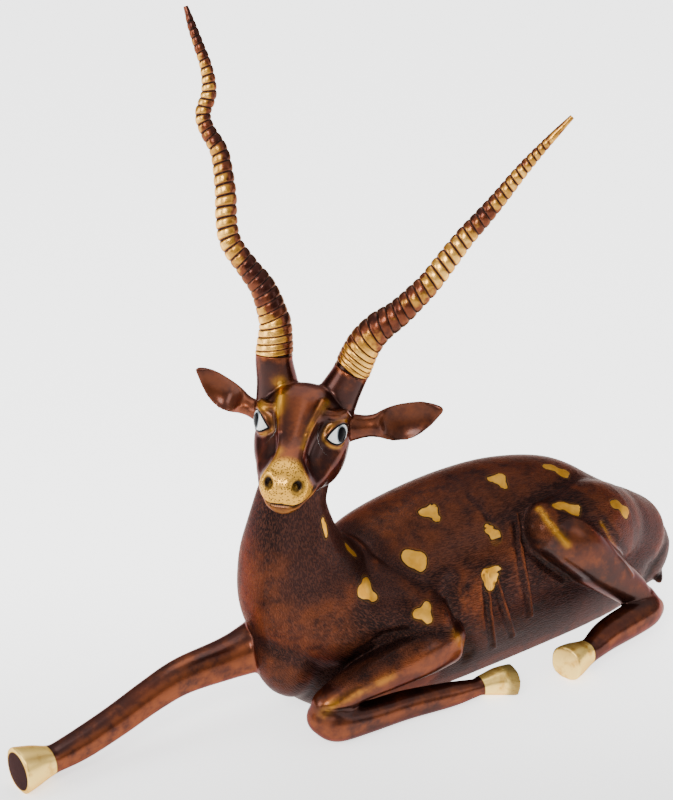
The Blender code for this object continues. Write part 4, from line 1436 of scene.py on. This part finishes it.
@dataclass
class Casting:
    """Body, head, legs and tail as one casting.

    The marks on the head, `brow_gold` and `bridge`, are in the head's own shares and the others
    are in the statue's.
    """

    trunk: Trunk = field(default_factory=Trunk)
    fore: ForeLegs = field(default_factory=ForeLegs)
    hind: HindLegs = field(default_factory=HindLegs)
    head: Head = field(default_factory=Head)
    spots: Spots = field(default_factory=Spots)
    hair: Hair = field(default_factory=Hair)
    hair_reach: float = 150.0         # hair covers the skin this near the line through the body
    head_share: float = 150.0         # marks of the head end this far from its middle
    lid_reach: float = 24.0           # an eye and its lids lie this near the middle of the eye
    ear_reach: float = 24.0           # an ear lies this near its own middle line
    cup_dark: float = 0.3             # how dark the painted shade inside an ear is
    relax_rounds: int = 26
    hoof_strength: float = 0.15       # the hooves are relaxed less, so that their collars stay crisp
    rump_from: float = 352.0          # behind this and above the next, the rump is smoothed
    rump_above: float = 48.0
    rump_rounds: int = 260
    hoof_length: float = 60.0         # a hoof ends this far past its collar
    not_hoof: float = -40.0           # kept where no hoof is near
    # Gold begins here: a place on the leg, the way towards the hoof and how far around it reaches
    collars: tuple = (
        ((-294, 59, 24), (-1.0, 0.02, -0.05), 40.0),
        ((121, -83.5, 14), (1.0, -0.25, 0.1), 34.0),
        ((243, -111, 20), (-1.0, -0.1, 0.0), 34.0),
        ((250, 124, 14), (-1.0, 0.0, 0.0), 19.0),
    )
    brow_gold: tuple = (
        Mark(((-22, 39, -24), (-8, 39, -21), (6, 36, -19), (16, 32, -19), (24, 27, -20)), 5.0, 1.0),
        Mark(((8, 35, 17), (20, 31, 14.5), (34, 26, 12), (46, 21, 11)), 2.6, 0.6),
        Mark(((-6, 36, 22), (12, 34, 17)), 3.6, 0.5),
        Mark(((54, 20, -11), (68, 17, -13)), 5.0, 0.55),
        Mark(((4, 27, -33), (-2, 25, -38)), 5.5, 0.9),
        Mark(((2, 25, 33), (-8, 23, 39)), 3.0, 0.55),
    )
    # Gold on the stifle, the hind leg's rear edge, the elbow, the knee and the hock: gilding and painted
    # highlight; on the knee it is a painted highlight.
    edge_gold_and_highlights: tuple = (
        Mark(((231, -44, 166), (227, -60, 160), (231, -71, 149), (240, -79, 135)), 3.4, 1.0),
        Mark(((296, -74, 140), (304, -78, 124), (316, -79, 107)), 3.0, 0.6),
        Mark(((96, -72, 76), (104, -70, 62)), 7.0, 0.45),
        Mark(((-64, -58, 40), (-50, -66, 52), (-20, -75, 58), (8, -80, 64)), 4.5, 0.6),
        Mark(((374, -100, 30), (378, -96, 20)), 7.0, 0.35),
    )
    bridge: Mark = Mark(((2, 34, 0), (20, 28, 0), (42, 21.5, 0), (62, 18.5, 0)), 9.0, 0.75)
    # Painted highlights in copper along the fore arm and knee, the shank, the hock and the hind foot, partly
    # the legs' own copper tone.
    copper_highlight_marks: tuple = (
        Mark(((-62, -62, 50), (-30, -72, 58), (20, -80, 70), (60, -82, 76)), 9.0, 0.9),
        Mark(((-66, -58, 34), (-52, -66, 14)), 10.0, 0.7),
        Mark(((-30, -76, 22), (40, -82, 22), (100, -90, 20)), 7.0, 0.6),
        Mark(((364, -104, 36), (376, -104, 22)), 8.0, 0.9),
        Mark(((330, -114, 32), (270, -119, 28)), 4.0, 0.5),
    )
    # Painted shade on the hind leg's front faces, in the slit of the folded fore leg and over the rump.
    painted_shade_marks: tuple = (
        Mark(((216, -56, 146), (228, -66, 128), (246, -66, 102), (270, -62, 76)), 9.0, 0.55),
        Mark(((236, -66, 124), (262, -80, 100), (300, -90, 68), (344, -102, 36)), 13.0, 0.6),
        Mark(((-70, -60, 45), (-30, -72, 37), (20, -82, 37), (92, -80, 34)), 5.0, 0.6),
        Mark(((330, -76, 112), (366, -64, 100), (404, -52, 80), (440, -34, 44)), 26.0, 0.4),
    )
    # Middle lines of the polished legs, and how far around each the polish reaches
    legs: tuple = (
        (((92, -54, 62), (60, -60, 62), (-50, -52, 34)), 23.0),
        (((-52, -50, 24), (120, -84, 14)), 26.0),
        (((-66, 46, 66), (-150, 54, 58), (-330, 60, 20)), 28.0),
        (((250, -68, 128), (296, -74, 90), (334, -84, 56), (368, -94, 24)), 26.0),
        (((370, -96, 24), (217, -114, 19)), 24.0),
        (((368, 116, 18), (232, 124, 14)), 20.0),
    )

    def build(self, starts: dict) -> bpy.types.Object:
        """Make the casting's mesh and layers.

        Args:
            starts: Direction of each horn at its seat.

        Returns:
            The mesh object in shares.
        """
        forms = self.trunk.forms() + self.fore.forms() + self.hind.forms() + self.head.forms(starts)
        piece = make_mesh("lacquered_casting", *join_forms(forms))
        fuse = piece.modifiers.new("fuse", "REMESH")
        fuse.mode = "VOXEL"
        fuse.voxel_size = VOXEL
        bake_modifiers(piece)
        LOG.info("fused skin: %d points", len(piece.data.vertices))
        self.relax_skin(piece)
        self.round_rump(piece)
        carving = Carving(self.head)
        points = read_points(piece)
        points -= read_normals(piece) * carving.sink(points)[:, None]
        carving.settle(points, starts)
        write_points(piece, points)
        thin_out(piece, STAGE_TRIANGLES)
        kept = np.linalg.norm(read_points(piece) - HEAD_AT, axis=1) < HEAD_REACH
        thin_out(piece, CASTING_TRIANGLES, kept)
        self.write_layers(piece)
        piece.data.shade_smooth()
        return piece

    def relax_skin(self, piece: bpy.types.Object) -> None:
        """Relax the fused skin: strongly on the body, little on the head and on the hooves."""
        points = read_points(piece)
        away = np.linalg.norm(points - HEAD_AT, axis=1)
        strength = 0.12 + 0.43 * ramp(away, HEAD_REACH - 30.0, HEAD_REACH + 20.0)
        strength = np.where(self.hoof_distance(points) > -4.0, self.hoof_strength, strength)
        write_points(piece, relax(piece, points, strength, self.relax_rounds))

    def round_rump(self, piece: bpy.types.Object) -> None:
        """Smooth the folds where both thighs meet the end of the barrel."""
        points = read_points(piece)
        rump = (points[:, 0] > self.rump_from) & (points[:, 2] > self.rump_above)
        group = piece.vertex_groups.new(name="rump")
        group.add(np.flatnonzero(rump).tolist(), 1.0, "REPLACE")
        smooth = piece.modifiers.new("round_rump", "SMOOTH")
        smooth.factor = 0.5
        smooth.iterations = self.rump_rounds
        smooth.vertex_group = group.name
        bake_modifiers(piece)
        piece.vertex_groups.clear()

    def hoof_distance(self, points: np.ndarray) -> np.ndarray:
        """Give how far a place lies past the nearest hoof's collar, below 0 before it.

        Args:
            points: Places on the skin, in shares.

        Returns:
            A distance along the leg for each place.
        """
        best = np.full(len(points), self.not_hoof)
        for place, out, reach in self.collars:
            out = np.array(out) / np.linalg.norm(out)
            own = points - place
            past = own @ out
            near = np.linalg.norm(own - past[:, None] * out, axis=1) < reach
            best = np.where(near & (past < self.hoof_length), np.maximum(best, past), best)
        return best

    def write_layers(self, piece: bpy.types.Object) -> None:
        """Work out and keep what the finish reads: hair, spots, hooves, gilding and painted highlights,
        painted shade, copper of wear and painted sheen, and eyes.
        """
        points = read_points(piece)
        normals = read_normals(piece)
        own = (points - HEAD_AT) @ HEAD.T
        on_the_head = np.linalg.norm(own, axis=1) < self.head_share
        legs = self.leg_share(points)
        hollow = self.hollow(piece, points, normals)
        muzzle = ramp(own[:, 0] - 0.25 * np.abs(own[:, 2]), 56.0, 68.0) * on_the_head
        face = ramp(own[:, 0] * 0.7 + own[:, 1], -42.0, -26.0) * on_the_head
        near_body = line_distance(points, self.hair.guide[3:]) < self.hair_reach
        write_layer(piece, "flow", self.hair.flow(points))
        write_layer(piece, "haired", (1.0 - face) * (1.0 - legs) * near_body)
        write_layer(piece, "spot", self.spots.distance(points))
        write_layer(piece, "hoof", self.hoof_distance(points))
        write_layer(piece, "stipple", muzzle * ramp(own[:, 1], -12.0, -6.0))
        write_layer(piece, "gilt", self.gilding(points, own, muzzle, on_the_head))
        shade = np.maximum(self.head_shade(own, on_the_head), self.cup_share(points, normals))
        shade = np.maximum(shade, self.body_shade(points, hollow, legs))
        write_layer(piece, "shade", shade)
        write_layer(piece, "rub_and_sheen", self.rubbing_and_sheen(points, own, normals, hollow, on_the_head))
        write_layer(piece, "eye", self.eye_places(points))

    def hollow(self, piece: bpy.types.Object, points: np.ndarray, normals: np.ndarray) -> np.ndarray:
        """Give how deep each place lies below its relaxed neighbours, below 0 where it stands out.

        Args:
            piece: The casting.
            points: Its places, in shares.
            normals: Its outward directions.

        Returns:
            A depth for each place, in shares.
        """
        strength = np.full(len(points), 0.5)
        mean = relax(piece, points, strength, 10)
        depth = ((mean - points) * normals).sum(axis=1)
        return relax(piece, depth[:, None], strength, 2)[:, 0]

    def gilding(self, points: np.ndarray, own: np.ndarray, muzzle: np.ndarray,
                on_the_head: np.ndarray) -> np.ndarray:
        """Give the gold of the muzzle, the brow, the lids and the edges of the legs, which is partly a
        painted highlight.

        Args:
            points: Places on the skin, in shares.
            own: The same in the head's own shares.
            muzzle: 1 on the muzzle.
            on_the_head: Whether each place is on the head.

        Returns:
            A share of gold for each place.
        """
        chin = 0.25 + 0.75 * ramp(own[:, 1], -15.0, -9.0)
        gilt = muzzle * chin * ramp(own[:, 1], -34.0, -26.0)
        gilt = np.where(on_the_head, strongest(gilt, self.brow_gold, own), gilt)
        gilt = strongest(gilt, self.edge_gold_and_highlights, points)
        for eye in self.head.eyes.values():
            lid = np.linalg.norm(points - eye.middle(), axis=1) < self.lid_reach
            gilt[lid] = np.maximum(gilt[lid], 0.5 * bell(eye.almond(points[lid]) - 3.4, 1.4))
        return gilt

    def head_shade(self, own: np.ndarray, on_the_head: np.ndarray) -> np.ndarray:
        """Give the painted shade in the nostrils and in the slit of the mouth.

        Args:
            own: Places in the head's own shares.
            on_the_head: Whether each place is on the head.

        Returns:
            A share of dark for each place.
        """
        carving = Carving(self.head)
        shade = 0.92 * carving.mouth(own, 1.3) * on_the_head
        for nostril in carving.nostrils:
            away = np.linalg.norm((own - nostril) / carving.nostril_size, axis=1)
            shade = np.maximum(shade, ramp(away, 1.25, 0.7))
        return shade

    def body_shade(self, points: np.ndarray, hollow: np.ndarray, legs: np.ndarray) -> np.ndarray:
        """Give the painted shade of the hollows, of the body near the ground, and of marked creases and faces
        of the legs and rump.

        Args:
            points: Places on the skin, in shares.
            hollow: Depth of each place below its neighbours.
            legs: 1 on the polished legs.

        Returns:
            A share of dark for each place.
        """
        # Painted shade: the body darkens towards the ground.
        near_ground = 0.72 * ramp(points[:, 2], 95.0, 25.0) * (1.0 - legs)
        # Painted shade in the hollows.
        shade = np.maximum(ramp(hollow, 0.12, 0.75), near_ground)
        return strongest(shade, self.painted_shade_marks, points)

    def rubbing_and_sheen(self, points: np.ndarray, own: np.ndarray, normals: np.ndarray, hollow: np.ndarray,
                on_the_head: np.ndarray) -> np.ndarray:
        """Give where copper shows: high places, as wear and painted highlight; the sides of the stretched
        leg, as painted reflection; the nose; the ears; and painted highlights along the legs.

        Args:
            points: Places on the skin, in shares.
            own: The same in the head's own shares.
            normals: Outward directions.
            hollow: Depth of each place below its neighbours.
            on_the_head: Whether each place is on the head.

        Returns:
            A share of copper for each place.
        """
        stretched = ramp(line_distance(points, self.fore.stretched_line()), 30.0, 22.0)
        # Painted reflection: the sides of the stretched leg, not its top, turn copper.
        flank = ramp(normals[:, 2], 0.9, 0.5)
        # High places turn copper: partly wear, partly painted highlight.
        rub_and_sheen = np.maximum(0.8 * ramp(-hollow, 0.1, 0.5), 0.8 * stretched * flank)
        rub_and_sheen = np.maximum(rub_and_sheen, self.bridge.on(own) * on_the_head)
        # painted highlights along the legs
        rub_and_sheen = strongest(rub_and_sheen, self.copper_highlight_marks, points)
        for side in Side:
            ear = line_distance(points, [on_head(*place) for place in self.head.ears[side]])
            rub_and_sheen = np.maximum(rub_and_sheen, 0.45 * ramp(ear, self.ear_reach, 18.0))
        return rub_and_sheen

    def eye_places(self, points: np.ndarray) -> np.ndarray:
        """Give along, up and 1 for the places near an eye, and three zeros elsewhere."""
        rows = np.zeros((len(points), 3))
        for eye in self.head.eyes.values():
            mine = np.linalg.norm(points - eye.middle(), axis=1) < self.lid_reach
            rows[mine] = np.column_stack([eye.places(points[mine])[:, :2], np.ones(mine.sum())])
        return rows

    def leg_share(self, points: np.ndarray) -> np.ndarray:
        """Give 1 on the polished legs and 0 on the haired body."""
        share = np.zeros(len(points))
        for line, reach in self.legs:
            share = np.maximum(share, ramp(line_distance(points, line), reach + 7.0, reach - 1.0))
        return share

    def cup_share(self, points: np.ndarray, normals: np.ndarray) -> np.ndarray:
        """Give the painted shade inside the ears: on the ear's blade, and turned to the front.

        Args:
            points: Places on the skin, in shares.
            normals: Outward directions.

        Returns:
            A share of dark for each place.
        """
        dark = np.zeros(len(points))
        for side in Side:
            root, middle, tip = (on_head(*place) for place in self.head.ears[side])
            run = (points - root) @ (tip - root) / ((tip - root) @ (tip - root))
            near = line_distance(points, (root, middle, tip)) < self.ear_reach
            turned = ramp(normals @ (FORWARD * 0.9 + UP * 0.4), 0.2, 0.5)
            dark = np.maximum(dark, near * turned * ramp(run, 0.36, 0.44) * ramp(run, 1.0, 0.93))
        return self.cup_dark * dark


@dataclass(frozen=True)
class Lamp:
    """A square soft light, placed in metres from the middle of the frame."""

    name: str
    place: tuple
    size: float
    power: float
    colour: tuple = (1.0, 1.0, 1.0)

    def hang(self, aim: np.ndarray) -> None:
        """Put the light in the scene, facing the statue."""
        data = bpy.data.lights.new(self.name, "AREA")
        data.size = self.size
        data.energy = self.power
        data.color = self.colour
        lamp = bpy.data.objects.new(self.name, data)
        lamp.location = Vector(self.place)
        lamp.rotation_euler = (Vector(aim) - Vector(self.place)).to_track_quat("-Z", "Y").to_euler()
        bpy.context.scene.collection.objects.link(lamp)


@dataclass
class Studio:
    """Pale floor, soft lights and the camera at the photograph's angle."""

    azimuth: float = -38.0
    elevation: float = 22.0
    distance: float = 1.6
    aim_shares: tuple = (0.0, 0.0, 330.0)
    focal_pixels: float = 1702.0
    image_height: float = 800.0
    walls: float = 0.25
    ceiling: float = 1.1
    far_glow: float = 2.6
    near_glow: float = 0.5
    glow_ends: tuple = (-0.3, 0.55)   # how far towards the camera the floor's glow begins and ends to fade
    floor_half: float = 40.0
    floor_colour: tuple = (0.88, 0.88, 0.87)
    lamps: tuple = (
        Lamp("key", (-1.9, -1.1, 1.8), 0.9, 48.0, (1.0, 0.97, 0.93)),
        Lamp("fill", (1.4, -2.0, 1.2), 1.0, 6.0, (0.95, 0.97, 1.0)),
        Lamp("top", (0.3, 0.9, 2.3), 1.4, 14.0),
        Lamp("side", (-2.1, 0.7, 0.9), 1.0, 22.0),
    )

    def toward_camera(self) -> np.ndarray:
        """Give the direction from the statue to the camera."""
        a, e = math.radians(self.azimuth), math.radians(self.elevation)
        return np.array([math.sin(a) * math.cos(e), -math.cos(a) * math.cos(e), math.sin(e)])

    def camera(self, aim: np.ndarray) -> None:
        """Set up the camera; its long side's sensor width gives the lens from the focal pixels."""
        data = bpy.data.cameras.new("camera")
        data.lens = data.sensor_width * self.focal_pixels / self.image_height
        camera = bpy.data.objects.new("camera", data)
        back = self.toward_camera()
        camera.location = Vector(aim + back * self.distance)
        camera.rotation_euler = Vector(-back).to_track_quat("-Z", "Y").to_euler()
        bpy.context.scene.collection.objects.link(camera)
        bpy.context.scene.camera = camera

    def floor(self) -> None:
        """Lay a wide pale floor that glows a little, less so in front of the statue."""
        half = self.floor_half
        corners = np.array([(-half, -half, 0), (half, -half, 0), (half, half, 0), (-half, half, 0)], float)
        floor = make_mesh("floor", corners, np.array([(0, 1, 2), (0, 2, 3)]))
        w = Wiring("pale_floor")
        w.put(w.shader.inputs["Base Color"], self.floor_colour)
        w.put(w.shader.inputs["Emission Color"], (1.0, 1.0, 1.0))
        split = w.tree.nodes.new("ShaderNodeSeparateXYZ")
        w.put(split.inputs[0], w.place())
        forward = self.toward_camera()[:2] / np.linalg.norm(self.toward_camera()[:2])
        nearer = w.math("ADD", w.math("MULTIPLY", split.outputs["X"], float(forward[0])),
                        w.math("MULTIPLY", split.outputs["Y"], float(forward[1])))
        w.put(w.shader.inputs["Emission Strength"],
              w.lift(w.step(nearer, *self.glow_ends), self.far_glow, self.near_glow))
        w.put(w.shader.inputs["Roughness"], w.lift(w.noise(w.place(), 3.0), 0.7, 0.8))
        floor.data.materials.append(w.material)
        floor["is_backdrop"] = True

    def build(self, aim: np.ndarray) -> None:
        """Set up floor, lights, sky and camera."""
        self.floor()
        for lamp in self.lamps:
            lamp.hang(aim)
        self.sky()
        self.camera(aim)

    def sky(self) -> None:
        """Give the room a bright ceiling and dimmer walls: the brightness follows the height looked at."""
        world = bpy.data.worlds.new("studio")
        world.use_nodes = True
        tree = world.node_tree
        direction = tree.nodes.new("ShaderNodeTexCoord")
        split = tree.nodes.new("ShaderNodeSeparateXYZ")
        tree.links.new(direction.outputs["Generated"], split.inputs[0])
        rise = tree.nodes.new("ShaderNodeMapRange")
        rise.interpolation_type = "SMOOTHSTEP"
        tree.links.new(split.outputs["Z"], rise.inputs["Value"])
        rise.inputs["From Min"].default_value = 0.1
        rise.inputs["From Max"].default_value = 0.75
        rise.inputs["To Min"].default_value = self.walls
        rise.inputs["To Max"].default_value = self.ceiling
        background = tree.nodes["Background"]
        background.inputs["Color"].default_value = (0.97, 0.98, 1.0, 1.0)
        tree.links.new(rise.outputs["Result"], background.inputs["Strength"])
        bpy.context.scene.world = world


# The horns' lines above their seats: x, y, z and radius, in shares
RIGHT_HORN_LINE = [
    (-60, 13, 411, 14.8), (-60, 16, 422, 13.8), (-65, 24, 447, 11.9), (-74, 34.5, 466, 10.3),
    (-83, 47, 487, 9.7), (-83, 54, 507, 9.4), (-79, 60, 529, 9.3), (-75.5, 70.5, 557, 8.4),
    (-76, 76, 569, 7.9), (-80, 85, 583, 7.1), (-81, 90, 597, 6.8), (-74.5, 89, 616, 6.6),
    (-74, 93, 637, 5.4), (-77, 99.5, 656, 4.7), (-79.5, 106, 673, 3.9), (-81, 112.5, 689, 2.0),
]
LEFT_HORN_LINE = [
    (-5, -46, 399, 15.6), (5, -54, 415.5, 14.1), (18.5, -65.5, 429.5, 12.3), (30, -75, 444.5, 11.1),
    (42, -82, 459, 10.2), (56, -88, 478, 9.5), (71.5, -94.5, 498.5, 8.7), (84, -102, 515, 8.1),
    (96.5, -110.5, 533.5, 7.1), (108.5, -119.5, 553.5, 6.0), (120, -128.5, 571.5, 4.8),
    (132, -138, 589, 3.5), (145, -146, 605, 2.0),
]


RIGHT_HORN = Horn(
    side=Side.RIGHT,
    line=RIGHT_HORN_LINE,
    ring_stops=((0.0, 0.06, 0.2, 0.4, 0.6, 0.8, 1.0), (0.0, 3.2, 8.8, 16.5, 23.5, 32.5, 42.0)),
    lean=(-0.13, 0.1, 0.0),
    gilded=(-0.89, -0.01, 0.22),
    zones=((0.0, 0.08, 0.13, 0.25, 0.32, 0.6, 0.64, 0.68, 0.8, 0.86, 1.0),
           (1.0, 0.95, 0.45, 0.45, 0.95, 1.0, 0.45, 0.95, 0.95, 0.4, 0.3)),
    plain_tip=0.03,
)
LEFT_HORN = Horn(
    side=Side.LEFT,
    line=LEFT_HORN_LINE,
    ring_stops=((0.0, 0.07, 0.2, 0.4, 0.6, 0.8, 1.0), (0.0, 4.5, 9.0, 16.0, 23.0, 31.0, 41.0)),
    lean=(0.165, -0.105, -0.225),
    gilded=(-0.28, -0.89, 0.35),
    zones=((0.0, 0.08, 0.12, 0.36, 0.42, 0.55, 0.58, 0.62, 0.66, 0.78, 0.81, 0.88, 0.92, 1.0),
           (0.75, 0.7, 0.5, 0.5, 0.95, 0.9, 0.35, 0.35, 0.95, 0.95, 0.4, 0.4, 0.95, 1.0)),
    plain_tip=0.14,
)


def lay_on_frame(pieces: list[bpy.types.Object], low: Vector, high: Vector) -> tuple[float, np.ndarray]:
    """Turn the pieces from shares into metres and lay their box on the frame's box.

    Args:
        pieces: Mesh objects in shares.
        low: Lowest corner of the frame's box.
        high: Highest corner of the frame's box.

    Returns:
        Metres in a share, and the statue's own origin in the frame.
    """
    share = (high.z - low.z) / SHARES_TALL
    places = np.vstack([read_points(piece) for piece in pieces]) * share
    middle = (places.min(axis=0) + places.max(axis=0)) / 2.0
    shift = np.array([(low.x + high.x) / 2.0, (low.y + high.y) / 2.0, 0.0]) - middle
    shift[2] = low.z - GROUND * share
    for piece in pieces:
        write_points(piece, read_points(piece) * share + shift)
    return share, shift


def main() -> None:
    """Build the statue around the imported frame."""
    logging.basicConfig(level=logging.INFO, format="%(message)s")
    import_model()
    cad_low, cad_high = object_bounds()
    head = Head()
    horns = [RIGHT_HORN, LEFT_HORN]
    built = {horn.side: horn.build(head) for horn in horns}
    starts = {side: out for side, (_, out) in built.items()}
    casting = Casting(head=head).build(starts)
    horn_pieces = {side: piece for side, (piece, _) in built.items()}
    share, shift = lay_on_frame([casting, *horn_pieces.values()], cad_low, cad_high)
    sole_place = np.array(ForeLegs().stretched_hoof[-1][:3]) * share + shift
    casting.data.materials.append(CastingFinish().build(share, head.eyes[Side.LEFT], sole_place))
    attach(casting, "root")
    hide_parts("casting")
    LOG.info("%s: %d triangles", casting.name, sum_of_triangles(casting))
    ringed = HornFinish().build(share)
    for side, piece in horn_pieces.items():
        piece.data.materials.append(ringed)
        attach(piece, "root")
        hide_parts(side.name.lower() + "_horn")
        LOG.info("%s: %d triangles", piece.name, sum_of_triangles(piece))
    studio = Studio()
    studio.build(np.array(studio.aim_shares) * share + shift)


if __name__ == "__main__":
    main()
